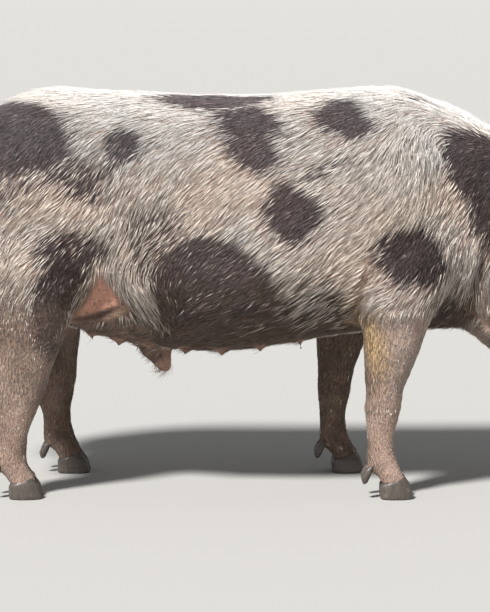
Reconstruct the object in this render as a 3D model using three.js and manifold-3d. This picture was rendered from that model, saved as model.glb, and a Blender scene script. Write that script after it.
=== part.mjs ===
// A spotted, lop-eared farm pig, a castrated male, standing at life size with its head lowered to sniff.
// Millimetres. +X runs towards the snout, +Y to the pig's left and +Z up. The hooves stand on Z = 0.
import * as THREE from "three";
import { LoftGeometry } from "three/addons/geometries/LoftGeometry.js";
import { mergeVertices } from "three/addons/utils/BufferGeometryUtils.js";
import Module from "manifold-3d";

const wasm = await Module();
wasm.setup();

// ---- driving dimensions ----
const GAP = 0.3; // between touching pieces
const DATUM_X = -87.3; // from the middle of the belly to the middle of the bounding box, backwards
const ELBOW_Z = 345; // the forelegs part from the trunk here
const CARPUS_Z = 158; // the fore feet begin here
const STIFLE_Z = 372; // the hind legs part from the trunk here
const HOCK_Z = 178; // the hind feet begin here
const HEAD_PITCH = THREE.MathUtils.degToRad(62); // of the face, below the horizon
const POLL = { x: 600, z: 497 }; // the crown of the head, between the ears

// Places on the head: s runs along the face from the poll, h out from the face and y sideways.
const EYE = { s: 130, h: -60, y: 86, radius: 13 };
const EAR = { s: 22, h: -34, y: 84, width: 130, thickness: 6, rows: 9, across: 5 };
const NOSTRIL = { s: 384, h: -48, y: 18, radius: 7.5, narrow: 6, depth: 18 };
const MOUTH_CORNER = { s: 236, h: -126 };
const LIPS = { s: 352, h: -98 }; // where the mouth line meets the snout
const SNOUT_BASE_S = 366; // the disc of the snout begins here
const TAIL = { x: -500, z: 614, fall: 190, reach: 66, thick: 18, thin: 5, curl: 30, rows: 24, points: 6 };
const TEAT_X = [-278, -228, -172, -108, -40, 30, 100];
const HOOF_SPREAD = 16; // from the foot's middle to each toe's
const DEWCLAW_SPREAD = 19;

const CLOSE_RIBS = 36; // ribs nearer than this need none between them
const BODY_POINTS = 24; // around a section of the trunk or head
const LEG_POINTS = 14;

// ---- small tools ----
const SIDES = { right: -1, left: 1 };
const UP = new THREE.Vector3(0, 0, 1);
const { lerp, smoothstep } = THREE.MathUtils;

/** The ribs and one more between each two that stand apart: every field follows a Catmull-Rom curve. */
function refine(stations) {
  const last = stations.length - 1;
  const made = [];
  for (let i = 0; i < last; i++) {
    const [b, c] = [stations[i], stations[i + 1]];
    const [a, d] = [stations[i - 1] ?? b, stations[i + 2] ?? c];
    made.push(b);
    if (Math.max(Math.abs(c.topX - b.topX), Math.abs(c.topZ - b.topZ)) < CLOSE_RIBS) continue;
    const between = {};
    for (const key of Object.keys(b)) between[key] = (9 * (b[key] + c[key]) - a[key] - d[key]) / 16;
    made.push(between);
  }
  return [...made, stations[last]];
}

/** A signed power, which makes the superellipse. */
const power = (value, exponent) => Math.sign(value) * Math.abs(value) ** exponent;

/** A geometry as a solid. */
function solid(geometry) {
  const plain = geometry.index ? geometry.toNonIndexed() : geometry.clone();
  plain.deleteAttribute("normal");
  plain.deleteAttribute("uv");
  const merged = mergeVertices(plain, 1e-3);
  return new wasm.Manifold(
    new wasm.Mesh({
      numProp: 3,
      vertProperties: merged.attributes.position.array,
      triVerts: new Uint32Array(merged.index.array),
    }),
  );
}

/** A closed solid through rings of points. */
const loft = (sections) => solid(new LoftGeometry(sections, { capStart: true, capEnd: true }));

/** A big block whose top face passes through a point and faces along a normal. */
function halfSpace(point, normal) {
  const size = 4000;
  const block = new THREE.BoxGeometry(size, size, size).translate(0, 0, -size / 2);
  const turn = new THREE.Quaternion().setFromUnitVectors(UP, normal.clone().normalize());
  return solid(block.applyQuaternion(turn).translate(point.x, point.y, point.z));
}

/** Parts a solid by a plane with a thin saw cut: [the side behind the normal, the side in front of it]. */
function part(body, point, normal) {
  const half = normal.clone().normalize().multiplyScalar(GAP / 2);
  const back = halfSpace(point.clone().sub(half), normal);
  const front = halfSpace(point.clone().add(half), normal);
  return [body.intersect(back), body.subtract(front)];
}

// ---- trunk, neck and head: one body lofted through ribs ----

/** A point of the head's own side view: s along the face from the poll, h out from the face. */
function onHead(s, h, y = 0) {
  const [c, d] = [Math.cos(HEAD_PITCH), Math.sin(HEAD_PITCH)];
  return new THREE.Vector3(POLL.x + s * c + h * d, y, POLL.z - s * d + h * c);
}

const FACE_DOWN = onHead(1, 0).sub(onHead(0, 0)); // along the face, from the poll to the snout
const FACE_OUT = onHead(0, 1).sub(onHead(0, 0));

/** An upright rib of the trunk. level is the height of its widest place, as a share. */
const rib = (x, top, bottom, half, level, upper = 2.2, lower = 2.2) => ({
  topX: x, topZ: top, botX: x, botZ: bottom, half, level, upper, lower,
});

/** A rib of the neck, which leans forward. */
const neckRib = (topX, topZ, botX, botZ, half, level) => ({
  topX, topZ, botX, botZ, half, level, upper: 2.1, lower: 2.2,
});

/** A rib of the head, between a place on the face and one on the jaw. */
function headRib(topS, topH, botS, botH, half, level, upper = 2.3, lower = 2.3) {
  const [top, bottom] = [onHead(topS, topH), onHead(botS, botH)];
  return { topX: top.x, topZ: top.z, botX: bottom.x, botZ: bottom.z, half, level, upper, lower };
}

const RIBS = [
  rib(-546, 530, 462, 42, 0.5), // back of the hams
  rib(-539, 572, 424, 98, 0.42),
  rib(-520, 614, 398, 134, 0.4), // tail head
  rib(-484, 655, 376, 158, 0.42),
  rib(-441, 687, 350, 172, 0.45),
  rib(-385, 712, 318, 178, 0.5), // hips
  rib(-320, 720, 290, 178, 0.53),
  rib(-245, 716, 266, 182, 0.52), // loin and flank
  rib(-150, 712, 251, 192, 0.48),
  rib(-50, 708, 244, 197, 0.47), // belly
  rib(50, 709, 254, 195, 0.48),
  rib(140, 716, 270, 188, 0.5),
  rib(215, 720, 281, 182, 0.52), // withers
  rib(285, 717, 284, 172, 0.55),
  neckRib(352, 693, 332, 284, 156, 0.56),
  neckRib(415, 663, 358, 284, 142, 0.57),
  neckRib(480, 621, 380, 285, 132, 0.55),
  neckRib(543, 564, 395, 284, 127, 0.52),
  headRib(0, 0, 100, -276, 124, 0.47), // poll to the back of the jowl
  headRib(50, 7, 126, -267, 120, 0.47, 2.5),
  headRib(100, 2, 157, -249, 110, 0.47, 2.6), // brow
  headRib(150, -14, 192, -222, 95, 0.46, 2.5),
  headRib(200, -28, 228, -194, 79, 0.46, 2.4),
  headRib(250, -33, 264, -168, 67, 0.46, 2.3),
  headRib(300, -28, 299, -145, 59, 0.46, 2.3),
  headRib(342, -15, 330, -125, 53, 0.48, 2.3), // chin
  headRib(366, -6, 354, -101, 49, 0.5, 2.2),
  headRib(388, -4, 378, -93, 51, 0.5, 2.2), // rim of the snout
];

/** Muscles and hollows: a soft swelling of the surface round a place, on one side or both. */
const swell = (x, y, z, spreadX, spreadY, spreadZ, out) => ({ x, y, z, spreadX, spreadY, spreadZ, out });
const SWELLS = [];
for (const [side, sign] of Object.entries(SIDES)) {
  const fore = side === "left" ? -30 : 0; // the left foreleg stands further back
  const hind = side === "left" ? 25 : 0; // the left hind leg further forward
  const brow = onHead(105, -42);
  const socket = onHead(132, -66);
  const cheek = onHead(150, -150);
  const snoutSide = onHead(260, -70);
  SWELLS.push(
    swell(265 + fore, sign * 160, 560, 70, 90, 120, 9), // shoulder blade
    swell(285 + fore, sign * 150, 420, 70, 90, 80, 16), // point of the shoulder
    swell(165 + fore, sign * 180, 430, 34, 90, 110, -13), // hollow behind the elbow
    swell(-275 + hind, sign * 160, 540, 60, 90, 70, -9), // hollow of the flank
    swell(-400 + hind, sign * 170, 520, 100, 100, 120, 11), // ham
    swell(-350, sign * 110, 700, 50, 50, 50, 5), // hip bone
    swell(-60, sign * 180, 400, 180, 90, 90, 6), // belly
    swell(452, sign * 120, 540, 26, 90, 130, -11), // crease behind the ear
    swell(425, sign * 100, 350, 24, 90, 60, -5), // crease behind the jowl
    swell(brow.x, sign * 80, brow.z, 34, 50, 26, 6),
    swell(socket.x, sign * 90, socket.z, 30, 50, 26, -7),
    swell(cheek.x, sign * 100, cheek.z, 50, 60, 50, 9),
    swell(snoutSide.x, sign * 60, snoutSide.z, 50, 40, 30, -4),
  );
}
SWELLS.push(swell(-548, 0, 480, 60, 26, 110, -30)); // cleft between the hams

/** One rib's ring of points, with the swellings added. */
function ribRing(r, grow) {
  const top = new THREE.Vector3(r.topX, 0, r.topZ);
  const bottom = new THREE.Vector3(r.botX, 0, r.botZ);
  const up = top.clone().sub(bottom);
  const height = up.length();
  up.normalize();
  const middle = bottom.clone().addScaledVector(up, height * r.level);
  const [above, below] = [height * (1 - r.level) + grow, height * r.level + grow];
  const ring = [];
  for (let i = 0; i < BODY_POINTS; i++) {
    const angle = (i / BODY_POINTS) * 2 * Math.PI;
    const bend = 2 / (Math.sin(angle) >= 0 ? r.upper : r.lower);
    const across = (r.half + grow) * power(Math.cos(angle), bend);
    const rise = power(Math.sin(angle), bend) * (Math.sin(angle) >= 0 ? above : below);
    const point = middle.clone().addScaledVector(up, rise).setY(across);
    const outward = new THREE.Vector3(0, across, 0).addScaledVector(up, rise).normalize();
    let push = 0;
    for (const m of SWELLS) {
      const reach = ((point.x - m.x) / m.spreadX) ** 2 + ((point.z - m.z) / m.spreadZ) ** 2;
      push += m.out * Math.exp(-reach - ((point.y - m.y) / m.spreadY) ** 2);
    }
    ring.push(point.addScaledVector(outward, push));
  }
  return ring;
}

const bodyLoft = (grow = 0) => loft(refine(RIBS).map((r) => ribRing(r, grow)));

// ---- legs: level rings, from the foot up ----

/** A level ring of a leg. Inner and outer are distances from the middle plane. */
const ring = (z, rear, front, inner, outer) => ({ z, rear, front, inner, outer });

const FORELEG = [
  ring(46, 219, 266, 98, 146), // between the toes
  ring(66, 212, 271, 92, 152), // fetlock
  ring(88, 216, 265, 97, 148),
  ring(114, 214, 265, 97, 148), // cannon
  ring(140, 211, 272, 93, 152),
  ring(166, 209, 279, 90, 155), // carpus
  ring(192, 211, 281, 90, 156),
  ring(222, 208, 294, 88, 162),
  ring(264, 206, 311, 84, 170),
  ring(305, 204, 324, 78, 177), // forearm
  ring(345, 193, 344, 70, 183), // elbow
  ring(385, 186, 364, 60, 188),
  ring(425, 187, 374, 45, 189),
  ring(465, 192, 374, 30, 182),
  ring(505, 206, 358, 24, 160),
  ring(535, 228, 335, 20, 120),
];
const HINDLEG = [
  ring(46, -438, -391, 97, 145), // between the toes
  ring(66, -446, -385, 90, 152), // fetlock
  ring(88, -440, -386, 96, 148),
  ring(118, -440, -382, 96, 148), // cannon
  ring(150, -449, -368, 93, 152),
  ring(180, -461, -354, 90, 156), // hock
  ring(208, -458, -345, 91, 158),
  ring(240, -443, -334, 90, 163),
  ring(272, -440, -322, 82, 172),
  ring(305, -458, -309, 64, 182), // gaskin
  ring(340, -491, -297, 44, 190), // stifle
  ring(380, -522, -283, 24, 194),
  ring(420, -540, -268, 10, 195), // ham
  ring(460, -545, -262, 6, 190),
  ring(500, -538, -268, 10, 176),
  ring(540, -505, -290, 20, 140),
];

/** How far a leg stands from the right-hand one of its pair, by height. */
const forelegShift = (z) => -78 + 58 * smoothstep(z, 260, 520);
const hindlegShift = (z) => lerp(72, 0, smoothstep(z, 20, 420));

function legRings(table, sign, shift, grow) {
  return table.map((r) => {
    const [cx, cy] = [(r.rear + r.front) / 2, (r.inner + r.outer) / 2];
    const [hx, hy] = [(r.front - r.rear) / 2 + grow, (r.outer - r.inner) / 2 + grow];
    const points = [];
    for (let i = 0; i < LEG_POINTS; i++) {
      const angle = (i / LEG_POINTS) * 2 * Math.PI;
      const x = cx + shift(r.z) + hx * power(Math.cos(angle), 0.88);
      const y = sign * cy + hy * power(Math.sin(angle), 0.88);
      points.push(new THREE.Vector3(x, y, r.z));
    }
    return points;
  });
}

/** A ring round a point, longer along X than across, pointed at the toe by a share. */
function toeRing(x, y, z, length, width, point, slope, count = 10) {
  const points = [];
  for (let i = 0; i < count; i++) {
    const angle = (i / count) * 2 * Math.PI;
    const along = (length / 2) * power(Math.cos(angle), 0.85);
    const narrow = 1 - point * Math.max(0, Math.cos(angle)) ** 1.5;
    points.push(
      new THREE.Vector3(x + along, y + (width / 2) * narrow * power(Math.sin(angle), 0.85), z + slope * along),
    );
  }
  return points;
}

/** One toe's flesh, from the fetlock to the coronet. x is the foot's middle. */
const toeLoft = (x, y, spread) =>
  loft([
    toeRing(x + 20, y + spread, 26, 44, 28, 0.2, 0.25, 8),
    toeRing(x + 12, y + spread * 0.95, 48, 46, 30, 0.1, 0.25, 8),
    toeRing(x + 2, y + spread * 0.7, 74, 40, 32, 0, 0.1, 8),
  ]);

/** One hoof: a flat sole, a sloping wall and a slanting coronet. */
const hoofLoft = (x, y, spread, grow = 0) =>
  loft([
    toeRing(x + 26, y + spread * 1.1, -grow, 62 + grow * 2, 31 + grow * 2, 0.45, 0),
    toeRing(x + 24, y + spread * 1.08, 14, 59 + grow * 2, 31 + grow * 2, 0.4, 0.04),
    toeRing(x + 20, y + spread * 1.02, 34 + grow, 50 + grow * 2, 31 + grow * 2, 0.25, 0.26),
  ]);

/** A dewclaw, high behind the foot. */
const dewclawLoft = (x, y, grow = 0) =>
  loft([
    toeRing(x - 31, y, 27 - grow, 9 + grow, 11 + grow, 0, 0.2, 6),
    toeRing(x - 29, y, 41, 20 + grow * 2, 19 + grow * 2, 0, 0.3, 6),
    toeRing(x - 21, y, 59 + grow, 22 + grow * 2, 18 + grow * 2, 0, 0.5, 6),
  ]);

const FEET = [];
for (const [side, sign] of Object.entries(SIDES)) {
  const late = side === "left" ? 1 : 0;
  FEET.push({
    end: "front", side, sign, table: FORELEG, cutZ: ELBOW_Z, footZ: CARPUS_Z,
    shift: (z) => late * forelegShift(z), x: 243 + late * forelegShift(0), y: sign * 122,
  });
  FEET.push({
    end: "hind", side, sign, table: HINDLEG, cutZ: STIFLE_Z, footZ: HOCK_Z,
    shift: (z) => late * hindlegShift(z), x: -414 + late * hindlegShift(0), y: sign * 121,
  });
}

// ---- ears, tail, eyes and small growths ----

/** A lop ear: a cupped leaf from the side of the poll, forward over the brow, with a drooping tip. */
function earLoft(sign) {
  const path = new THREE.CatmullRomCurve3([
    onHead(EAR.s, EAR.h, sign * EAR.y),
    onHead(EAR.s + 8, EAR.h + 26, sign * (EAR.y + 24)),
    onHead(EAR.s + 54, EAR.h + 50, sign * (EAR.y + 40)),
    onHead(EAR.s + 118, EAR.h + 58, sign * (EAR.y + 42)),
    onHead(EAR.s + 184, EAR.h + 46, sign * (EAR.y + 28)),
  ]);
  const spread = new THREE.Vector3(0, 0.6 * sign, 0).sub(FACE_OUT); // sideways and back
  const sections = [];
  for (let i = 0; i <= EAR.rows; i++) {
    const t = 1 - (1 - i / EAR.rows) ** 1.35; // closer rows towards the tip
    const centre = path.getPointAt(t);
    const along = path.getTangentAt(t);
    const across = spread.clone().addScaledVector(along, -spread.dot(along)).normalize();
    const out = new THREE.Vector3().crossVectors(along, across).multiplyScalar(sign).normalize();
    const leaf = Math.sin(Math.PI * Math.min(1, 0.16 + 0.84 * t) ** 0.82);
    const root = lerp(0.86, 1, Math.min(1, 3 * t)); // a little narrower where it leaves the head
    const half = Math.max(3, (EAR.width / 2) * Math.sqrt(Math.max(0, leaf)) * root);
    const cup = lerp(30, 10, Math.min(1, t * 1.5));
    const face = (share, depth) =>
      centre.clone().addScaledVector(across, share * half).addScaledVector(out, depth - cup * share * share);
    const section = [];
    for (let k = 0; k <= EAR.across; k++) {
      section.push(face(lerp(-1, 1, k / EAR.across), EAR.thickness * 0.5));
    }
    for (let k = EAR.across; k >= 0; k--) {
      section.push(face(lerp(-0.97, 0.97, k / EAR.across), -EAR.thickness * 0.5));
    }
    sections.push(sign > 0 ? section.reverse() : section);
  }
  return loft(sections);
}

/** The tail: down behind the hams, then one loose curl, then a straight tip. */
function tailLoft() {
  const route = [];
  for (let i = 0; i <= TAIL.rows; i++) {
    const t = i / TAIL.rows;
    const turn = smoothstep(t, 0.3, 0.86) * 2 * Math.PI;
    const z = TAIL.z - TAIL.fall * t ** 1.2;
    const x = TAIL.x - TAIL.reach * Math.min(1, t * 2.6) ** 0.6;
    route.push(new THREE.Vector3(x - TAIL.curl * (1 - Math.cos(turn)) * 0.5, TAIL.curl * Math.sin(turn), z));
  }
  const path = new THREE.CatmullRomCurve3(route);
  const frames = path.computeFrenetFrames(TAIL.rows, false);
  return loft(
    path.getSpacedPoints(TAIL.rows).map((centre, i) => {
      const radius = lerp(TAIL.thick, TAIL.thin, (i / TAIL.rows) ** 0.6);
      return Array.from({ length: TAIL.points }, (_, k) => {
        const angle = (k / TAIL.points) * 2 * Math.PI;
        return centre
          .clone()
          .addScaledVector(frames.normals[i], radius * Math.cos(angle))
          .addScaledVector(frames.binormals[i], radius * Math.sin(angle));
      });
    }),
  );
}

/** An eyeball, set in the side of the brow. */
function eyeBall(sign, grow = 0) {
  const centre = onHead(EYE.s, EYE.h, sign * EYE.y);
  return solid(new THREE.SphereGeometry(EYE.radius + grow, 12, 8).translate(centre.x, centre.y, centre.z));
}

/** A nostril: a short oval plug, for cutting. */
function nostril(sign) {
  const plug = new THREE.CylinderGeometry(NOSTRIL.radius, NOSTRIL.narrow, NOSTRIL.depth, 10);
  plug.scale(0.85, 1, 1.25);
  const turn = new THREE.Quaternion().setFromUnitVectors(new THREE.Vector3(0, 1, 0), FACE_DOWN);
  const centre = onHead(NOSTRIL.s, NOSTRIL.h, sign * NOSTRIL.y);
  return solid(plug.applyQuaternion(turn).translate(centre.x, centre.y, centre.z));
}

/** A teat: a blunt cone that hangs from the belly. */
function teat(x, sign) {
  const y = sign * lerp(62, 78, (x + 275) / 430);
  const z = 281 - 19 * smoothstep(x, -290, -80) + 14 * smoothstep(x, 0, 160);
  const profile = [[0, -13], [5, -11], [9, 8], [0, 10]].map(([r, h]) => new THREE.Vector2(r, h));
  return solid(new THREE.LatheGeometry(profile, 5).rotateX(Math.PI / 2).translate(x, y, z));
}

/** The sheath: a flattened pouch on the middle of the belly that points down and forward. */
const sheathLoft = () =>
  loft([
    toeRing(-143, 0, 205, 22, 20, 0, -0.1),
    toeRing(-152, 0, 222, 40, 34, 0, -0.2),
    toeRing(-170, 0, 244, 76, 46, 0, -0.25),
    toeRing(-190, 0, 275, 120, 60, 0, -0.2),
  ]);

// ---- putting the pig together ----

const SKIN = new THREE.MeshStandardMaterial({ color: 0xb8a398, roughness: 0.75, metalness: 0 });
const EAR_SKIN = new THREE.MeshStandardMaterial({ color: 0x594d4b, roughness: 0.8, metalness: 0 });
const SNOUT_SKIN = new THREE.MeshStandardMaterial({ color: 0xc4917f, roughness: 0.5, metalness: 0 });
const HORN = new THREE.MeshStandardMaterial({ color: 0x6b5a49, roughness: 0.55, metalness: 0 });
const EYE_SURFACE = new THREE.MeshStandardMaterial({ color: 0x24160f, roughness: 0.1, metalness: 0 });

const pig = new THREE.Group();

/** A solid as a named mesh of the pig. */
function add(name, body, material) {
  const { vertProperties, triVerts, numProp } = body.getMesh();
  const positions = new Float32Array((vertProperties.length / numProp) * 3);
  for (let i = 0; i < positions.length / 3; i++) {
    positions.set(vertProperties.subarray(i * numProp, i * numProp + 3), i * 3);
  }
  const geometry = new THREE.BufferGeometry();
  geometry.setAttribute("position", new THREE.BufferAttribute(positions, 3));
  geometry.setIndex(new THREE.BufferAttribute(triVerts, 1));
  geometry.computeVertexNormals();
  const mesh = new THREE.Mesh(geometry, material);
  mesh.name = name;
  pig.add(mesh);
}

const at = (x, z) => new THREE.Vector3(x, 0, z);

/** One leg and its foot. Returns the leg's top, to join to the trunk, and the space to clear for the rest. */
function buildLeg(foot) {
  const whole = loft(legRings(foot.table, foot.sign, foot.shift, 0));
  const fat = loft(legRings(foot.table, foot.sign, foot.shift, GAP));
  const [lower, top] = part(whole, at(0, foot.cutZ), UP);
  const [shank, leg] = part(lower, at(0, foot.footZ), UP);
  let flesh = shank;
  for (const toe of [-1, 1]) flesh = flesh.add(toeLoft(foot.x, foot.y, toe * HOOF_SPREAD));
  for (const toe of [-1, 1]) {
    const place = `${foot.end}_${foot.side}_${toe === foot.sign ? "outer" : "inner"}`;
    const hoof = (grow) => hoofLoft(foot.x, foot.y, toe * HOOF_SPREAD, grow);
    const dewclaw = (grow) => dewclawLoft(foot.x, foot.y + toe * DEWCLAW_SPREAD, grow);
    flesh = flesh.subtract(hoof(GAP)).subtract(dewclaw(GAP));
    add(`hoof_${place}`, hoof(0), HORN);
    add(`dewclaw_${place}`, dewclaw(0), HORN);
  }
  add(`${foot.end}_leg_${foot.side}`, leg, SKIN);
  add(`${foot.end}_foot_${foot.side}`, flesh, SKIN);
  return { top, clear: part(fat, at(0, foot.cutZ + GAP), UP)[0] };
}

const legs = FEET.map(buildLeg);
let body = bodyLoft();
for (const leg of legs) body = body.add(leg.top);
for (const x of TEAT_X) for (const sign of [-1, 1]) body = body.add(teat(x, sign));
body = body.add(sheathLoft());
for (const leg of legs) body = body.subtract(leg.clear);

const fatBody = bodyLoft(GAP);
for (const [side, sign] of Object.entries(SIDES)) {
  add(`ear_${side}`, earLoft(sign).subtract(fatBody), EAR_SKIN);
  add(`eye_${side}`, eyeBall(sign), EYE_SURFACE);
  body = body.subtract(eyeBall(sign, GAP));
}
add("tail", tailLoft().subtract(fatBody), SKIN);

const [trunk, fore] = part(body, at(330, 700), new THREE.Vector3(416, 0, 70));
const [neck, head] = part(fore, at(575, 532), new THREE.Vector3(247, 0, -179));
const [muzzled, disc] = part(head, onHead(SNOUT_BASE_S, 0), FACE_DOWN);

const corner = onHead(MOUTH_CORNER.s, MOUTH_CORNER.h);
const alongMouth = onHead(LIPS.s, LIPS.h).sub(corner).normalize();
const acrossMouth = new THREE.Vector3(-alongMouth.z, 0, alongMouth.x); // towards the face

/** The wedge of the lower jaw: below the mouth line and in front of the mouth's corner. */
function jawWedge(grow) {
  const place = corner.clone().addScaledVector(acrossMouth, grow).addScaledVector(alongMouth, -grow);
  return halfSpace(place, acrossMouth).intersect(halfSpace(place, alongMouth.clone().negate()));
}

add("trunk", trunk, SKIN);
add("neck", neck, SKIN);
add("head", muzzled.subtract(jawWedge(GAP)), SKIN);
add("lower_jaw", muzzled.intersect(jawWedge(0)), SKIN);
add("snout_disc", disc.subtract(nostril(1)).subtract(nostril(-1)), SNOUT_SKIN);

pig.position.x = DATUM_X;

export default pig;
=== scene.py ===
"""A grown lop-eared spotted farm pig, standing still: skin, coat, eyes and horn over the frame.

Lengths are in millimetres in the drawing's own axes, whose x runs 87.3 mm ahead of the frame's, with
x forward, z up and the pig's right side at negative y. They become metres when a mesh is made.
"""

import math

import bmesh
import bpy
import numpy as np
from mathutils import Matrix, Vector
from mathutils.bvhtree import BVHTree
from mathutils.kdtree import KDTree


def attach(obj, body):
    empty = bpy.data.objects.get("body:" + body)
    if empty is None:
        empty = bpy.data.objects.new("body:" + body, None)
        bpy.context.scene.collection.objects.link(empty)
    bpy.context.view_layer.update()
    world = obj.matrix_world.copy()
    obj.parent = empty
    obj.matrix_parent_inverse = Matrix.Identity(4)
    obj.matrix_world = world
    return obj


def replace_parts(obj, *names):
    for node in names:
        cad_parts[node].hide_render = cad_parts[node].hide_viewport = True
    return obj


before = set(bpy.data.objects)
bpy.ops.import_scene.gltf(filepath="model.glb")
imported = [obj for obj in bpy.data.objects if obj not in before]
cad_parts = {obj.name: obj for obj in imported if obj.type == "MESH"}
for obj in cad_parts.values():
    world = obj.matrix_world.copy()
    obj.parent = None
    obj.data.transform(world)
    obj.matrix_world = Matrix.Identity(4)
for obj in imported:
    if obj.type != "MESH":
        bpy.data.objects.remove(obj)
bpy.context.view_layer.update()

# ---------------------------------------------------------------- named values

DATUM = np.array([-87.3, 0.0, 0.0])
RANDOM = np.random.default_rng(20)

# The size of the skin's first even mesh, and how far each solid is swollen to run into its neighbours.
VOXEL = 8.4
NODES_SWOLLEN_BY = 0.35
THIN_NODES_SWOLLEN_BY = 2.6
CORONET_SWOLLEN_BY = 2.9

# The skin covers this much of the horn's top, which is drawn in by this share under it. The horn has its
# own mesh size and rounds of smoothing.
HORN_COVERED = 9.0
HORN_DRAWN_IN = 0.26
HORN_VOXEL = 1.8
HORN_ROUNDS = 9

# The head's own axes start at the poll.
POLL = np.array([600.0, 0.0, 497.0])
FACE_DOWN = np.array([0.4695, 0.0, -0.8829])
FACE_OUT = np.array([0.8829, 0.0, 0.4695])

# Places on the head: s down the face, h out from it and y across.
EYE = {"s": 130, "h": -60, "y": 86, "radius": 12.6}
EYE_SLIT = {"half": 13.5, "above": 7.0, "below": 4.6}
NOSTRIL = {"s": 386, "h": -46, "y": 18, "radius": 8.5, "depth": 15}
LASHES = {"above": 34, "below": 14}

# Places on the body, with each teat's height and reach and the places of one row of teats.
SHEATH_MIDDLE = np.array([-152.0, 0.0, 218.0])
SHEATH_TIP = np.array([-141.0, 0.0, 204.0])
TAIL_END = np.array([-566.0, 0.0, 424.0])
TEAT = {"tall": 6.5, "wide": 4.6}
TEAT_X = [-278, -228, -172, -108, -40, 30, 100]

# In the side plane: the hollow in front of each thigh, and the folds under the flank, elbow and jowl, where
# near-black painted shade is laid.
FLANK_POCKET = [(-250, 402), (-298, 318), (-214, 346)]
FOLD_LINES = [
    [(-302, 314), (-276, 318), (-250, 325), (-222, 345)],
    [(216, 400), (208, 380), (203, 350)],
    [(436, 466), (420, 420), (404, 371), (399, 334), (414, 296)],
]

# The floor is flat this far out, in metres, and then rises ring by ring.
FLOOR_FLAT = 10.0
FLOOR_RINGS = 19
FLOOR_SIDES = 96
FLOOR_RISE = 0.0026

# The camera, in metres and degrees: what it looks at, from how far and how high, and through what lens.
CAMERA_TARGET = Vector((-0.0873, 0, 0.3254))
CAMERA_AWAY = 5.5
CAMERA_LIFT = 8
SENSOR = 36
LENS_IN_PICTURE_HEIGHTS = 3055.6 / 612

# The way that the key light falls.
KEY_DIRECTION = Vector((0.37, 0.53, -0.77))

# The kinds of node that share a rule, and all the nodes of flesh.
FACE_KINDS = ["head", "lower_jaw", "snout_disc"]
FOOT_KINDS = ["front_foot", "hind_foot"]
LEG_KINDS = ["front_leg", "hind_leg"]
FINE_KINDS = [*FACE_KINDS, "ear", "tail", *FOOT_KINDS]
PAIRED_NODES = ["ear", "front_leg", "front_foot", "hind_leg", "hind_foot"]
FLESH = ["trunk", "neck", *FACE_KINDS, "tail"]
FLESH += [f"{part}_{side}" for part in PAIRED_NODES for side in ("left", "right")]

# What the skin and the coat do on each kind of node: rounds of smoothing, how far the skin is drawn back
# to the node's own surface, depth of coat over the skin, then tuft length, width, lift and tufts per cm2.
KIND_COLUMNS = ("rounds", "pull", "depth", "long", "wide", "lift", "dense")
KINDS = {
    "trunk": (16, 0.0, 4.0, 40, 0.86, 0.13, 13.4),
    "neck": (14, 0.0, 4.0, 38, 0.86, 0.13, 13.4),
    "head": (7, 0.0, 1.8, 15, 0.9, 0.17, 14.0),
    "lower_jaw": (6, 0.2, 1.8, 15, 0.9, 0.18, 12.5),
    "snout_disc": (4, 0.6, 0.6, 5, 0.8, 0.3, 0.0),
    "ear": (4, 0.9, 0.0, 12, 0.8, 0.12, 11.0),
    "tail": (5, 0.8, 0.4, 20, 1.1, 0.2, 15.0),
    "front_leg": (7, 0.3, 2.0, 13, 0.78, 0.11, 14.5),
    "hind_leg": (7, 0.3, 2.0, 13, 0.78, 0.11, 14.5),
    "front_foot": (4, 0.6, 1.0, 8.5, 0.75, 0.12, 15.0),
    "hind_foot": (4, 0.6, 1.0, 8.5, 0.75, 0.12, 15.0),
}

# Locks of hair: tufts to each, how far off its leader a tuft may stand, and how far it leans to its tip.
TUFTS_A_LOCK = 2
LOCK_REACH = 14
LOCK_LEAN = 0.4

# The share of bright strands among the white hair and among the dark.
BRIGHT_SHARE = 0.34
BRIGHT_SHARE_IN_DARK = 0.05

# The hair thins out between these heights, above the hooves.
HAIR_ENDS = (33, 40)

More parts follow.
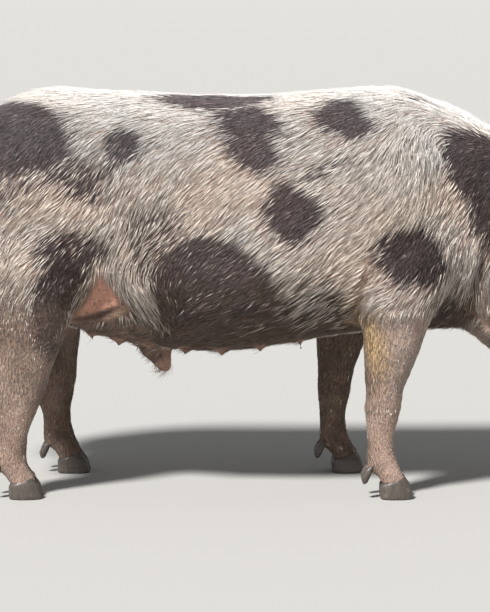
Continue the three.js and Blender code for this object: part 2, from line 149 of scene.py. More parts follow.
# Dark patches: centre, the three half sizes, tilt in the side plane in degrees, then how full the colour
# is in the hair and in the skin.
PATCHES = [
    ((-392, -120, 645), (112, 92, 70), -12, 1.0, 1.0),
    ((-428, -40, 690), (52, 70, 26), -20, 1.0, 1.0),
    ((-290, -165, 588), (64, 60, 40), -24, 0.72, 1.0),
    ((-196, -143, 636), (31, 34, 26), 35, 1.0, 1.0),
    ((-238, -158, 600), (30, 40, 18), 40, 0.6, 1.0),
    ((-40, -40, 706), (112, 50, 46), -6, 1.0, 1.0),
    ((20, -112, 672), (66, 54, 40), -20, 1.0, 1.0),
    ((24, -150, 624), (64, 50, 42), -32, 1.0, 1.0),
    ((184, -114, 682), (60, 50, 50), -25, 1.0, 1.0),
    ((95, -189, 522), (50, 50, 58), 8, 1.0, 1.0),
    ((156, -169, 598), (26, 22, 13), 20, 0.7, 0.9),
    ((-48, -178, 372), (124, 80, 110), -10, 0.94, 1.0),
    ((-140, -193, 466), (56, 40, 76), 15, 0.48, 1.0),
    ((-192, -180, 392), (46, 60, 50), 15, 0.05, 0.8),
    ((26, -185, 345), (72, 60, 66), 0, 0.75, 1.0),
    ((306, -184, 442), (68, 60, 56), 20, 1.0, 1.0),
    ((448, -120, 594), (92, 84, 80), -35, 1.0, 1.0),
    ((436, -150, 510), (44, 50, 72), 15, 1.0, 1.0),
    # The stifle patch is a dark marking deepened by painted shade in front of the thigh.
    ((-309, -160, 364), (52, 80, 108), -8, 1.0, 1.0),
    ((-290, -172, 452), (60, 50, 42), 20, 0.85, 1.0),
    ((331, -43, 698), (28, 14, 9), -20, 1.0, 1.0),
    ((-330, 130, 650), (84, 80, 66), 15, 1.0, 1.0),
    ((-120, 175, 560), (96, 70, 74), -25, 1.0, 1.0),
    ((-60, 120, 690), (50, 60, 34), 0, 0.9, 1.0),
    ((90, 190, 470), (54, 60, 44), 20, 1.0, 1.0),
    ((40, 150, 320), (84, 70, 50), 0, 0.8, 1.0),
    ((238, 160, 602), (66, 70, 58), -30, 1.0, 1.0),
    ((330, 180, 450), (40, 50, 46), 0, 0.9, 1.0),
    # This patch on the brisket is painted shade under the neck, between the foreleg and the jowl.
    ((368, -110, 330), (36, 70, 44), 0, 0.8, 1.0),
    ((-410, -150, 572), (84, 60, 44), -8, 0.34, 0.9),
    ((-400, 190, 450), (60, 60, 66), 10, 1.0, 1.0),
    ((-262, 190, 420), (28, 30, 24), 0, 0.5, 0.9),
    ((470, 120, 560), (62, 64, 74), -30, 0.9, 1.0),
    ((-520, 20, 560), (34, 46, 40), 0, 0.8, 1.0),
]

# The same on the head, with centres given down the face, out from it and across.
HEAD_PATCHES = [
    ((18, -20, -46), (60, 60, 66), 0, 1.0, 1.0),
    ((134, -56, 92), (46, 42, 40), 0, 1.0, 1.0),
    ((92, 0, 16), (30, 26, 24), 0, 0.9, 1.0),
    ((196, -150, -84), (26, 30, 24), 0, 0.9, 1.0),
    ((246, -34, -30), (16, 16, 18), 0, 0.9, 1.0),
    ((302, -70, 50), (18, 20, 20), 0, 0.8, 1.0),
]

# Where the dark hair is darkest, and how far round: shoulder, neck and stifle. At the stifle the darkening
# is partly painted shade in front of the thigh.
SOOT_AND_SHADE_PLACES = [((306, -184, 442), 75), ((450, -120, 560), 120), ((-306, -160, 380), 130)]

# Wrinkles across the snout and the brow: place down the face, reach to each side and depth.
SNOUT_WRINKLES = [(262, 40, 1.2), (281, 42, 1.7), (299, 42, 2.0)]
SNOUT_WRINKLES += [(317, 40, 2.0), (334, 38, 2.2), (350, 38, 1.8)]
BROW_WRINKLES = [(64, 44, 1.4), (84, 50, 1.7), (104, 40, 1.2)]

# Folds on one side of the head, with points down the face, out from it and across, then width and depth.
LIPS = [(355, -99, 0), (351, -100, 24), (332, -104, 42), (300, -111, 54), (268, -119, 62), (236, -126, 68)]
MOUTH_FOLDS = [
    (LIPS, 2.6, 4.6),
    ([(236, -126, 70), (222, -134, 78), (214, -148, 82)], 3.4, 3.2),
]
FACE_FOLDS = [
    ([(118, -8, 14), (150, -14, 12), (182, -22, 16)], 3.6, 1.8),
    ([(150, -74, 96), (174, -78, 88), (206, -74, 76)], 3.0, 2.0),
    ([(152, -92, 96), (176, -96, 90), (204, -92, 82)], 3.4, 1.6),
    ([(104, -70, 100), (92, -92, 106), (96, -116, 108)], 3.6, 1.8),
    ([(60, -110, 116), (92, -170, 112), (128, -224, 84)], 8.0, 2.2),
    ([(20, -130, 126), (50, -190, 120), (92, -250, 84)], 9.5, 2.8),
]

# Folds on the left side of the body: neck, elbow, jowl, chest, flank, stifle and knee.
BODY_FOLDS = [
    ([(498, 128, 560), (470, 140, 500), (452, 142, 430), (455, 122, 350)], 8, 6.0),
    ([(440, 138, 600), (420, 148, 540), (410, 150, 470), (420, 136, 380)], 9, 3.2),
    ([(232, 182, 452), (214, 184, 400), (202, 170, 356), (210, 130, 330)], 7, 9.0),
    ([(440, 150, 470), (420, 145, 420), (404, 135, 371), (398, 125, 334), (416, 105, 290)], 8, 12.0),
    ([(356, 120, 410), (340, 160, 372), (316, 176, 350)], 6, 3.5),
    ([(-302, 120, 312), (-276, 130, 316), (-250, 140, 322), (-224, 140, 340), (-206, 145, 356)], 6.5, 6.5),
    ([(-252, 150, 404), (-236, 150, 386), (-216, 150, 366), (-190, 150, 346)], 5, 5.0),
    ([(-262, 165, 430), (-276, 165, 390), (-288, 155, 350), (-300, 130, 310)], 6, 4.0),
    ([(212, 128, 356), (240, 178, 350), (280, 182, 352), (318, 160, 360)], 5, 2.6),
]

# Wrinkles above each forefoot, as height and depth, and the cleft under the tail.
WRIST_WRINKLES = [(150, 1.6), (160, 2.0), (171, 1.6)]
TAIL_CLEFT = [(-556, 0, 590), (-552, 0, 520), (-546, 0, 440), (-530, 0, 390)]

# The comb: a place on the right side, then the way that the coat lies there, forward and up.
STROKES = [
    (-400, -60, 700, -0.88, -0.45),
    (-330, -60, 712, -0.94, -0.32),
    (-400, -150, 630, -0.70, -0.70),
    (-330, -160, 640, -0.72, -0.68),
    (-430, -170, 540, -0.55, -0.83),
    (-350, -175, 560, -0.75, -0.65),
    (-335, -180, 500, -0.95, -0.30),
    (-415, -190, 430, -0.60, -0.80),
    (-360, -185, 430, -0.85, -0.50),
    (-405, -180, 320, -0.30, -0.95),
    (-335, -170, 320, -0.15, -0.98),
    (-306, -170, 400, -0.45, -0.88),
    (-270, -170, 470, -0.85, -0.50),
    (-243, -110, 690, -0.88, -0.48),
    (-170, -130, 650, -0.76, -0.65),
    (-207, -170, 575, -0.50, -0.87),
    (-190, -185, 510, -0.22, -0.97),
    (-198, -185, 448, -0.60, -0.80),
    (-228, -170, 420, 0.15, -0.98),
    (-190, -175, 385, 0.72, -0.69),
    (-150, -170, 350, 0.66, -0.75),
    (-144, -190, 465, -0.85, -0.52),
    (-117, -180, 575, -0.66, -0.75),
    (-117, -70, 703, -0.94, -0.30),
    (-9, -60, 708, -0.97, -0.18),
    (100, -60, 708, -0.98, -0.15),
    (190, -70, 708, -0.97, -0.22),
    (-27, -160, 630, -0.86, -0.50),
    (-63, -185, 520, -0.82, -0.57),
    (63, -170, 610, -0.88, -0.45),
    (81, -188, 500, -0.88, -0.47),
    (-9, -195, 410, -0.93, -0.36),
    (99, -190, 372, -0.93, -0.34),
    (-81, -180, 335, -0.95, -0.30),
    (45, -160, 300, -0.97, -0.12),
    (171, -175, 570, -0.90, -0.42),
    (189, -185, 465, -0.88, -0.46),
    (180, -180, 355, -0.94, -0.32),
    (234, -120, 676, -0.86, -0.50),
    (268, -125, 678, -0.62, -0.78),
    (283, -150, 630, -0.10, -0.99),
    (270, -165, 580, -0.50, -0.86),
    (252, -175, 528, -0.82, -0.56),
    (315, -100, 690, -0.78, -0.60),
    (324, -150, 600, -0.38, -0.92),
    (315, -170, 535, -0.60, -0.80),
    (297, -184, 445, -0.72, -0.70),
    (333, -170, 375, -0.55, -0.83),
    (243, -180, 355, -0.92, -0.36),
    (225, -170, 285, -0.28, -0.96),
    (279, -170, 265, -0.05, -1.00),
    (360, -50, 690, -0.92, 0.28),
    (405, -60, 665, -0.90, 0.36),
    (470, -70, 630, -0.82, 0.50),
    (400, -120, 600, -0.78, -0.30),
    (450, -140, 560, -0.85, -0.10),
    (423, -140, 520, -0.45, -0.88),
    (405, -140, 420, -0.35, -0.94),
    (432, -120, 370, 0.12, -0.99),
    (470, -110, 320, 0.10, -0.99),
    (560, -120, 480, -0.70, 0.40),
    (-540, -40, 560, -0.20, -0.98),
    (-530, -100, 450, -0.20, -0.98),
    (-500, -150, 380, -0.30, -0.95),
    (-200, -60, 290, -0.60, -0.40),
    (0, -60, 250, -1.00, 0.00),
    (200, -60, 280, -1.00, 0.00),
    (360, -60, 290, -0.30, -0.95),
]


# ---------------------------------------------------------------- small sums


def smooth(x, low, high):
    """0 below low and 1 above high, with a soft step between."""
    t = np.clip((np.asarray(x, float) - low) / (high - low), 0, 1)
    return t * t * (3 - 2 * t)


def mix(a, b, t):
    return a + (b - a) * t


def unit(v):
    length = np.linalg.norm(v, axis=-1, keepdims=True)
    return v / np.maximum(length, 1e-9)


def dot(a, b):
    return (a * b).sum(-1)


def gap_to(p, place):
    """How far each point is from a place."""
    return np.linalg.norm(p - np.asarray(place, float), axis=-1)


def within(p, centre, size):
    """How far out each point is in an egg of three half sizes: 0 in its middle and 1 on its surface."""
    return np.linalg.norm((p - np.array(centre)) / np.array(size), axis=1)


def bell(x, width):
    return np.exp(-((x / width) ** 2))


def on_head(s, h, y):
    """A point s down the face from the poll, h out from it and y across."""
    return POLL + s * FACE_DOWN + h * FACE_OUT + np.array([0.0, y, 0.0])


def head_place(p):
    """How far down the face, out from it and across each point is."""
    q = p - POLL
    return q @ FACE_DOWN, q @ FACE_OUT, q[:, 1]


def eye_centre(side):
    return on_head(EYE["s"], EYE["h"], side * EYE["y"])


def lattice(i, j, k, seed):
    """A settled random number from -1 to 1 for each whole-numbered place."""
    n = (i * 73856093) ^ (j * 19349663) ^ (k * 83492791) ^ (seed * 2654435761)
    n = (n ^ (n >> 13)) * 1274126177 & 0xFFFFFFFF
    n = (n ^ (n >> 16)) & 0xFFFF
    return n / 32767.5 - 1


def noise(p, cell, seed):
    """Soft random swells of about one cell across."""
    q = p / cell
    low = np.floor(q).astype(np.int64)
    t = q - low
    t = t * t * (3 - 2 * t)
    total = np.zeros(len(p))
    for corner in range(8):
        a, b, c = corner & 1, corner >> 1 & 1, corner >> 2 & 1
        share = np.where(a, t[:, 0], 1 - t[:, 0])
        share = share * np.where(b, t[:, 1], 1 - t[:, 1])
        share = share * np.where(c, t[:, 2], 1 - t[:, 2])
        total += share * lattice(low[:, 0] + a, low[:, 1] + b, low[:, 2] + c, seed)
    return total


# ---------------------------------------------------------------- markings and painted shade


def patch_depth(p, centre, size, tilt):
    """How many millimetres inside one patch each point is; negative outside."""
    q = p - np.array(centre, float)
    turn = math.radians(tilt)
    along = q[:, 0] * math.cos(turn) + q[:, 2] * math.sin(turn)
    up = -q[:, 0] * math.sin(turn) + q[:, 2] * math.cos(turn)
    r = np.sqrt((along / size[0]) ** 2 + (q[:, 1] / size[1]) ** 2 + (up / size[2]) ** 2)
    return (1 - r) * min(size[0], size[2])


def markings(p):
    """Two shares of dark, 0 to 1: in the hair and in the skin, whose dark runs on past the hair's. Most
    patches are the coat's own dark marks; the one on the brisket is painted shade, and the stifle patch is
    partly painted shade.
    """
    q = p.copy()
    for axis in range(3):
        q[:, axis] += 12 * noise(p, 58, 10 + axis) + 5 * noise(p, 19, 20 + axis)
    hair = np.zeros(len(p))
    skin = np.zeros(len(p))
    placed = PATCHES + [(on_head(*patch[0]), *patch[1:]) for patch in HEAD_PATCHES]
    for centre, size, tilt, in_hair, in_skin in placed:
        depth = patch_depth(q, centre, size, tilt)
        hair = np.maximum(hair, in_hair * smooth(depth, -13, 15))
        skin = np.maximum(skin, in_skin * smooth(depth, -24, -4))
    return hair, skin


# ---------------------------------------------------------------- meshes


def read(items, key, width, kind=np.float32):
    """One property of all the items of a mesh, with a row for each."""
    out = np.empty(len(items) * width, kind)
    items.foreach_get(key, out)
    return out.reshape(-1, width)


def points(mesh):
    return read(mesh.vertices, "co", 3).astype(float)


def move_to(mesh, co):
    mesh.vertices.foreach_set("co", co.astype(np.float32).ravel())
    mesh.update()


def normals(mesh):
    return read(mesh.vertex_normals, "vector", 3).astype(float)


def edges(mesh):
    return read(mesh.edges, "vertices", 2, np.int32)


def triangles(mesh):
    """Corner vertices and corner loops of each triangle."""
    mesh.calc_loop_triangles()
    faces = mesh.loop_triangles
    return read(faces, "vertices", 3, np.int32), read(faces, "loops", 3, np.int32)


def mesh_from(name, co, faces):
    """A mesh of equal-sided faces from plain arrays."""
    sides = faces.shape[1]
    mesh = bpy.data.meshes.new(name)
    mesh.vertices.add(len(co))
    mesh.vertices.foreach_set("co", co.astype(np.float32).ravel())
    mesh.loops.add(faces.size)
    mesh.loops.foreach_set("vertex_index", faces.astype(np.int32).ravel())
    mesh.polygons.add(len(faces))
    mesh.polygons.foreach_set("loop_start", np.arange(0, faces.size, sides, dtype=np.int32))
    mesh.update(calc_edges=True)
    mesh.shade_smooth()
    return mesh


def show(name, mesh, material):
    """A finished piece: its mesh goes to metres in the row frame, and it rides on the animal."""
    move_to(mesh, (points(mesh) + DATUM) / 1000)
    mesh.materials.clear()
    mesh.materials.append(material)
    piece = bpy.data.objects.new(name, mesh)
    bpy.context.scene.collection.objects.link(piece)
    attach(piece, "root")
    return piece


def node_shape(name):
    """Welded points and triangles of a CAD node."""
    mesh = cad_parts[name].data
    corners, _ = triangles(mesh)
    co = points(mesh) * 1000 - DATUM
    _, first, welded = np.unique(np.round(co, 2), axis=0, return_index=True, return_inverse=True)
    faces = welded.reshape(-1)[corners]
    whole = (faces[:, 0] != faces[:, 1]) & (faces[:, 1] != faces[:, 2]) & (faces[:, 2] != faces[:, 0])
    return co[first], faces[whole]


def hull_of(co):
    """Points and triangles of the tightest solid round some points."""
    bm = bmesh.new()
    for p in co:
        bm.verts.new(p)
    made = bmesh.ops.convex_hull(bm, input=bm.verts)
    spare = set(made["geom_interior"]) | set(made["geom_unused"])
    bmesh.ops.delete(bm, geom=[g for g in spare if isinstance(g, bmesh.types.BMVert)], context="VERTS")
    bmesh.ops.triangulate(bm, faces=bm.faces)
    bm.verts.index_update()
    co = np.array([v.co for v in bm.verts])
    faces = np.array([[v.index for v in f.verts] for f in bm.faces])
    bm.free()
    return co, faces


def remeshed(co, faces, size):
    """One even skin of quads round all the solids, with their seams closed."""
    mesh = mesh_from("rough", co, faces)
    rough = bpy.data.objects.new("rough", mesh)
    bpy.context.scene.collection.objects.link(rough)
    modifier = rough.modifiers.new("voxels", "REMESH")
    modifier.mode = "VOXEL"
    modifier.voxel_size = size
    modifier.adaptivity = 0
    graph = bpy.context.evaluated_depsgraph_get()
    result = bpy.data.meshes.new_from_object(rough.evaluated_get(graph))
    bpy.data.objects.remove(rough)
    bpy.data.meshes.remove(mesh)
    return result


def keep_largest(mesh):
    """Removes the small closed bubbles that are left inside."""
    label = np.arange(len(mesh.vertices))
    pairs = edges(mesh)
    while True:
        low = np.minimum(label[pairs[:, 0]], label[pairs[:, 1]])
        before = label.copy()
        np.minimum.at(label, pairs[:, 0], low)
        np.minimum.at(label, pairs[:, 1], low)
        label = label[label]
        if (label == before).all():
            break
    main = np.bincount(label).argmax()
    bm = bmesh.new()
    bm.from_mesh(mesh)
    bm.verts.ensure_lookup_table()
    spare = [bm.verts[i] for i in np.nonzero(label != main)[0]]
    bmesh.ops.delete(bm, geom=spare, context="VERTS")
    bm.to_mesh(mesh)
    bm.free()


def averaged(values, pairs, count):
    """Each vertex's mean of its neighbours' values."""
    degree = np.maximum(np.bincount(pairs.ravel(), minlength=count), 1)
    columns = values.reshape(count, -1)
    out = np.empty_like(columns)
    for c in range(columns.shape[1]):
        there = np.bincount(pairs[:, 0], columns[pairs[:, 1], c], count)
        back = np.bincount(pairs[:, 1], columns[pairs[:, 0], c], count)
        out[:, c] = (there + back) / degree
    return out.reshape(values.shape)


def blurred(values, pairs, rounds):
    for _ in range(rounds):
        values = mix(values, averaged(values, pairs, len(values)), 0.6)
    return values


def relaxed(co, pairs, rounds):
    """Smooths each vertex for its own number of rounds."""
    for step in range(int(np.max(rounds))):
        share = 0.6 * np.clip(rounds - step, 0, 1)[:, None]
        co = mix(co, averaged(co, pairs, len(co)), share)
    return co


def subdivided(mesh, chosen):
    """Splits every edge of the faces that have a chosen vertex."""
    bm = bmesh.new()
    bm.from_mesh(mesh)
    bm.verts.ensure_lookup_table()
    bm.faces.ensure_lookup_table()
    cut = set()
    for i in np.nonzero(chosen)[0]:
        for face in bm.verts[i].link_faces:
            cut.update(face.edges)
    cut = sorted(cut, key=lambda e: e.index)
    bmesh.ops.subdivide_edges(bm, edges=cut, cuts=1, use_grid_fill=True, smooth=0.0)
    bm.to_mesh(mesh)
    bm.free()
    mesh.update()


# ---------------------------------------------------------------- the skin's shape


def kind_of(node):
    return node.replace("_left", "").replace("_right", "")


def horn_top(node):
    """A slab under the top of a hoof or dewclaw, which the skin grows down over."""
    co, _ = node_shape(node)
    low, high = co[:, 2].min(), co[:, 2].max()
    top = co[co[:, 2] > mix(low, high, 0.6)]
    return hull_of(np.concatenate([top, top - [0, 0, HORN_COVERED]]))


def flesh_solids():
    """Each solid of flesh: its kind, its points and triangles, and how far it is swollen to be remeshed."""
    solids = []
    for node in FLESH:
        kind = kind_of(node)
        shape = hull_of(node_shape(node)[0]) if node == "snout_disc" else node_shape(node)
        swell = THIN_NODES_SWOLLEN_BY if kind in ("ear", "tail") else NODES_SWOLLEN_BY
        solids.append((kind, *shape, swell))
    for node in horn_nodes():
        kind = "front_foot" if "front" in node else "hind_foot"
        solids.append((kind, *horn_top(node), CORONET_SWOLLEN_BY))
    return solids


class Flesh:
    """The CAD flesh as one target, which gives the nearest place on it and the kind of node there."""

    def __init__(self):
        co, faces, self.kind = [], [], []
        start = 0
        for kind, c, f, _ in flesh_solids():
            co.append(c)
            faces.append(f + start)
            self.kind += [kind] * len(f)
            start += len(c)
        self.tree = BVHTree.FromPolygons(np.concatenate(co).tolist(), np.concatenate(faces).tolist())

    def nearest(self, p):
        found = [self.tree.find_nearest(q) for q in p]
        place = np.array([f[0] for f in found])
        return place, np.array([self.kind[f[2]] for f in found])


def swollen_solids():
    """All the flesh and eyes as solids that run into each other, with the thin ones thickened."""
    all_co, all_faces = [], []
    start = 0
    eyes = [("eye", *node_shape(node), NODES_SWOLLEN_BY) for node in ("eye_left", "eye_right")]
    for _, co, faces, swell in flesh_solids() + eyes:
        mesh = mesh_from("solid", co, faces)
        co = co + normals(mesh) * swell
        bpy.data.meshes.remove(mesh)
        all_co.append(co)
        all_faces.append(faces + start)
        start += len(co)
    return np.concatenate(all_co), np.concatenate(all_faces)


def kind_values(kinds, what):
    column = KIND_COLUMNS.index(what)
    return np.array([KINDS[k][column] for k in kinds], float)


def body_skin(flesh):
    """The whole body in one surface, smoothed, and drawn in by the coat's depth."""
    mesh = remeshed(*swollen_solids(), VOXEL)
    keep_largest(mesh)
    co = points(mesh)
    pairs = edges(mesh)
    _, kinds = flesh.nearest(co)
    rounds = blurred(kind_values(kinds, "rounds"), pairs, 8)
    pull = blurred(kind_values(kinds, "pull"), pairs, 4)
    depth = blurred(kind_values(kinds, "depth"), pairs, 8)
    fine = fine_places(co)
    rounds = rounds * (1 - 0.8 * fine)
    pull = np.maximum(pull, fine)
    near, _ = flesh.nearest(co)
    co = mix(co, near, (pull * 0.9)[:, None])
    co = relaxed(co, pairs, rounds)
    near, _ = flesh.nearest(co)
    co = mix(co, near, (pull * 0.8)[:, None])
    co = relaxed(co, pairs, np.full(len(co), 2.0))
    move_to(mesh, co)
    co = co - normals(mesh) * depth[:, None]
    move_to(mesh, co)
    return mesh


def teat_places():
    """The middle of each teat, two rows of them under the belly."""
    x = np.array(TEAT_X, float)
    y = mix(62.0, 78.0, (x + 275) / 430)
    z = 274 - 19 * smooth(x, -290, -80) + 14 * smooth(x, 0, 160)
    return [np.array(place) for side in (-1, 1) for place in zip(x, y * side, z)]


def fine_places(p):
    """Where small forms stand out of the trunk: the teats and the sheath's tip."""
    fine = np.zeros(len(p))
    for place in teat_places():
        fine = np.maximum(fine, 1 - smooth(gap_to(p, place), 11, 20))
    return np.maximum(fine, 0.7 * (1 - smooth(gap_to(p, SHEATH_MIDDLE), 30, 52)))


def refine_head(mesh, flesh):
    """More points where small forms come: head, ears and feet once, and eyes, snout and mouth again."""
    co = points(mesh)
    _, kinds = flesh.nearest(co)
    subdivided(mesh, np.isin(kinds, FINE_KINDS) | (fine_places(co) > 0.05))
    settle(mesh, flesh, 3)
    co = points(mesh)
    s, h, y = head_place(co)
    lips = (s > 225) & (s < 362) & (np.abs(h + 112 - (s - 290) * 0.23) < 16)
    top = (s > 250) & (h > -34) & (h < 20) & (np.abs(y) < 50)
    subdivided(mesh, (s > 350) | lips | top | near_eyes(co, 36) | (fine_places(co) > 0.3))
    settle(mesh, flesh, 2)
    co = points(mesh)
    s, h, y = head_place(co)
    nostrils = (s > 374) & (h > -66) & (h < -28) & (np.abs(y) < 34)
    subdivided(mesh, nostrils | near_eyes(co, 23))
    settle(mesh, flesh, 1)


def near_eyes(p, reach):
    return (gap_to(p, eye_centre(-1)) < reach) | (gap_to(p, eye_centre(1)) < reach)


def settle(mesh, flesh, rounds):
    """Rounds off freshly split faces; small forms are drawn back to the flesh first."""
    co = points(mesh)
    near, kinds = flesh.nearest(co)
    fine = fine_places(co)
    thin = np.isin(kinds, ["ear", "tail"]) * 0.7
    co = mix(co, near, np.maximum(fine * 0.8, thin)[:, None])
    split = np.isin(kinds, FINE_KINDS)
    amount = np.where(split | (fine > 0.05), float(rounds), 0.0) * (1 - 0.5 * fine)
    move_to(mesh, relaxed(co, edges(mesh), amount))


# ---------------------------------------------------------------- small forms on the skin


def eye_axes(side):
    """Out of the head, along the slit towards the snout, and towards the brow."""
    out = unit(0.15 * FACE_DOWN + 0.47 * FACE_OUT + np.array([0.0, 0.87 * side, 0.0]))
    along = 0.97 * FACE_DOWN - 0.25 * FACE_OUT
    along = unit(along - dot(along, out) * out)
    up = np.cross(out, along)
    if dot(up, FACE_OUT) < 0:
        up = -up
    return out, along, up


def slit_inside(u, v):
    """How far inside the slit between the lids a place is, in millimetres; negative outside."""
    share = 1 - np.clip(np.abs(u) / EYE_SLIT["half"], 0, 1.6) ** 2.2
    top = EYE_SLIT["above"] * share - v
    bottom = v + EYE_SLIT["below"] * share
    return np.minimum(top, bottom)


def shape_lids(co):
    """Thick lids over each eyeball, with an almond slit, a fold above and a bag below."""
    for side in (-1, 1):
        centre = eye_centre(side)
        out, along, up = eye_axes(side)
        q = co - centre
        u, v, w = q @ along, q @ up, q @ out
        around = np.hypot(u, v)
        reach = (around < 40) & (w > -25)
        ball = np.sqrt(np.maximum(EYE["radius"] ** 2 - around**2, 0))
        lid = np.sqrt(np.maximum((EYE["radius"] + 2.4) ** 2 - (around * 0.92) ** 2, 0))
        raised = np.maximum(w, mix(w, lid, 1 - smooth(around, 13, 22)))
        inside = slit_inside(u, v)
        margin = -inside
        raised = raised + 1.3 * bell(margin - 1.4, 1.3) * (margin > -1)
        raised = raised - 2.0 * bell(margin - 7.5, 1.5) * smooth(v, -3, 3)
        raised = raised + 1.6 * bell(margin - 11.5, 3.0) * smooth(v, -2, 4)
        raised = raised - 1.5 * bell(margin - 8.5, 1.6) * smooth(-v, 0, 5)
        raised = raised + 1.2 * bell(margin - 12.5, 2.6) * smooth(-v, 0, 5)
        opened = mix(raised, ball - 4.0, smooth(inside, -0.3, 1.3))
        shaped = mix(opened, w, smooth(around, 20, 36))
        co = np.where(reach[:, None], co + (shaped - w)[:, None] * out, co)
    return co


def shape_snout(co):
    """Nostrils with raised rims, a rolled edge round the disc and a shallow groove below the nostrils."""
    s, h, y = head_place(co)
    front = smooth(s, 362, 376)
    around = np.sqrt(((h + 49) / 44) ** 2 + (y / 50) ** 2)
    rim = 2.4 * bell(around - 0.88, 0.1)
    dish = -2.2 * (1 - smooth(around, 0.3, 0.8))
    groove = -1.6 * bell(y, 2.2) * smooth(-h, 58, 70)
    move = rim + dish + groove
    for side in (-1, 1):
        u = (y - side * NOSTRIL["y"]) * 1.12
        v = (h - NOSTRIL["h"]) * 0.9 + 0.25 * side * u
        gap = np.hypot(u, v)
        move = move + 1.8 * bell(gap - 10.8, 1.9)
        move = move - NOSTRIL["depth"] * (1 - smooth(gap, 4.5, NOSTRIL["radius"] + 1))
    co = co + (move * front)[:, None] * FACE_DOWN
    ring = -2.6 * bell(s - 366, 3.0) * (h > -110)
    sideways = unit(np.stack([h + 49, y], axis=1))
    co = co + (ring * sideways[:, 0])[:, None] * FACE_OUT
    co[:, 1] += ring * sideways[:, 1]
    return co


def flank_pocket(p, low=-9, high=12):
    """1 inside the bare three-cornered hollow between thigh and belly, 0 outside, on both sides."""
    inside = np.full(len(p), 1e9)
    for k, (x, z) in enumerate(FLANK_POCKET):
        x2, z2 = FLANK_POCKET[(k + 1) % 3]
        length = math.hypot(x2 - x, z2 - z)
        away = ((x2 - x) * (p[:, 2] - z) - (z2 - z) * (p[:, 0] - x)) / length
        inside = np.minimum(inside, away)
    return smooth(inside, low, high) * (np.abs(p[:, 1]) > 70)


def shape_flank(mesh):
    """Sinks the hollow in front of each thigh, so that the thigh and the belly overhang it."""
    co = points(mesh)
    move_to(mesh, co - normals(mesh) * (13 * flank_pocket(co))[:, None])


def raise_teats(mesh):
    """Draws each teat out of the belly as a short rounded cone on a low swelling."""
    co = points(mesh)
    tree = skin_tree(mesh)
    for place in teat_places():
        at, out, _, _ = tree.find_nearest(place + np.array([0, 0, -20]))
        out = unit(0.6 * np.array(out) + np.array([0, 0.35 * np.sign(place[1]), -0.4]))
        gap = gap_to(co, at)
        co = co + (TEAT["tall"] * bell(gap, TEAT["wide"]) + 1.5 * bell(gap, 16))[:, None] * out
    move_to(mesh, co)


def path_points(path, tree):
    """A path in small steps, laid on the skin."""
    path = np.array(path, float)
    lengths = np.linalg.norm(np.diff(path, axis=0), axis=1)
    at = np.concatenate([[0], np.cumsum(lengths)])
    steps = np.linspace(0, at[-1], int(at[-1] / 2.5) + 2)
    dense = np.stack([np.interp(steps, at, path[:, k]) for k in range(3)], axis=1)
    share = steps / at[-1]
    laid = np.array([tree.find_nearest(q)[0] for q in dense])
    return laid, share


def crease(mesh, tree, path, width, depth, ridge=0.35):
    """A fold in the skin along a path: a groove between two low ridges, fading out at both ends."""
    laid, share = path_points(path, tree)
    co = points(mesh)
    low, high = laid.min(0) - 4 * width, laid.max(0) + 4 * width
    close = np.nonzero(((co > low) & (co < high)).all(1))[0]
    gaps = np.linalg.norm(co[close][:, None, :] - laid[None], axis=2)
    nearest = gaps.argmin(1)
    gap = gaps[np.arange(len(close)), nearest]
    fade = np.sin(math.pi * np.clip(share[nearest], 0.03, 0.97)) ** 0.5
    shape = ridge * bell(gap - 2.1 * width, width) - bell(gap, width)
    co[close] += (depth * shape * fade)[:, None] * normals(mesh)[close]
    move_to(mesh, co)


def arc_over_face(s, reach, sag, h):
    """A path across the face at s, sagging towards the snout at its ends."""
    turn = np.linspace(-1, 1, 9)
    return [on_head(s + sag * t * t, h - 22 * t * t, reach * t) for t in turn]


def head_creases():
    """Each fold of the head: path, width and depth."""
    folds = [(arc_over_face(s, reach, -6, -6), 3.0, depth) for s, reach, depth in SNOUT_WRINKLES]
    folds += [(arc_over_face(s, reach, 14, 4), 3.6, depth) for s, reach, depth in BROW_WRINKLES]
    for side in (-1, 1):
        folds += [([on_head(s, h, side * y) for s, h, y in path], *size) for path, *size in MOUTH_FOLDS]
        for k in range(3):
            start = on_head(206 - 16 * k, -96 - 6 * k, side * 84)
            end = on_head(176 - 22 * k, -186 - 8 * k, side * 84)
            middle = (start + end) / 2 + FACE_DOWN * (16 - 4 * k)
            folds.append(([start, middle, end], 5.2, 1.7 - 0.3 * k))
        folds += [([on_head(s, h, side * y) for s, h, y in path], *size) for path, *size in FACE_FOLDS]
    return folds


def body_creases():
    """Each fold of the neck, elbows, flanks and legs: path, width and depth."""
    folds = []
    for side in (-1, 1):
        folds += [([(x, y * side, z) for x, y, z in path], *size) for path, *size in BODY_FOLDS]
        leg = 0 if side < 0 else -50
        for z, depth in WRIST_WRINKLES:
            wrist = [(262 + leg, 98 * side, z), (276 + leg, 122 * side, z + 1), (262 + leg, 148 * side, z)]
            folds.append((wrist, 2.8, depth))
    folds.append((TAIL_CLEFT, 9, 7.0))
    return folds


def skin_tree(mesh):
    corners, _ = triangles(mesh)
    return BVHTree.FromPolygons(points(mesh).tolist(), corners.tolist())


def add_small_forms(mesh):
    move_to(mesh, shape_snout(points(mesh)))
    shape_flank(mesh)
    raise_teats(mesh)
    tree = skin_tree(mesh)
    for path, width, depth in head_creases() + body_creases():
        crease(mesh, tree, path, width, depth)
    co = points(mesh)
    s, _, _ = head_place(co)
    swell = (0.9 * noise(co, 34, 41) + 0.4 * noise(co, 15, 42)) * (1 - 0.9 * smooth(s, 340, 366))
    move_to(mesh, shape_lids(co + normals(mesh) * swell[:, None]))


# ---------------------------------------------------------------- what the skin carries


def attribute(mesh, name, values):
    layer = mesh.attributes.new(name, "FLOAT", "POINT")
    layer.data.foreach_set("value", np.asarray(values, np.float32))


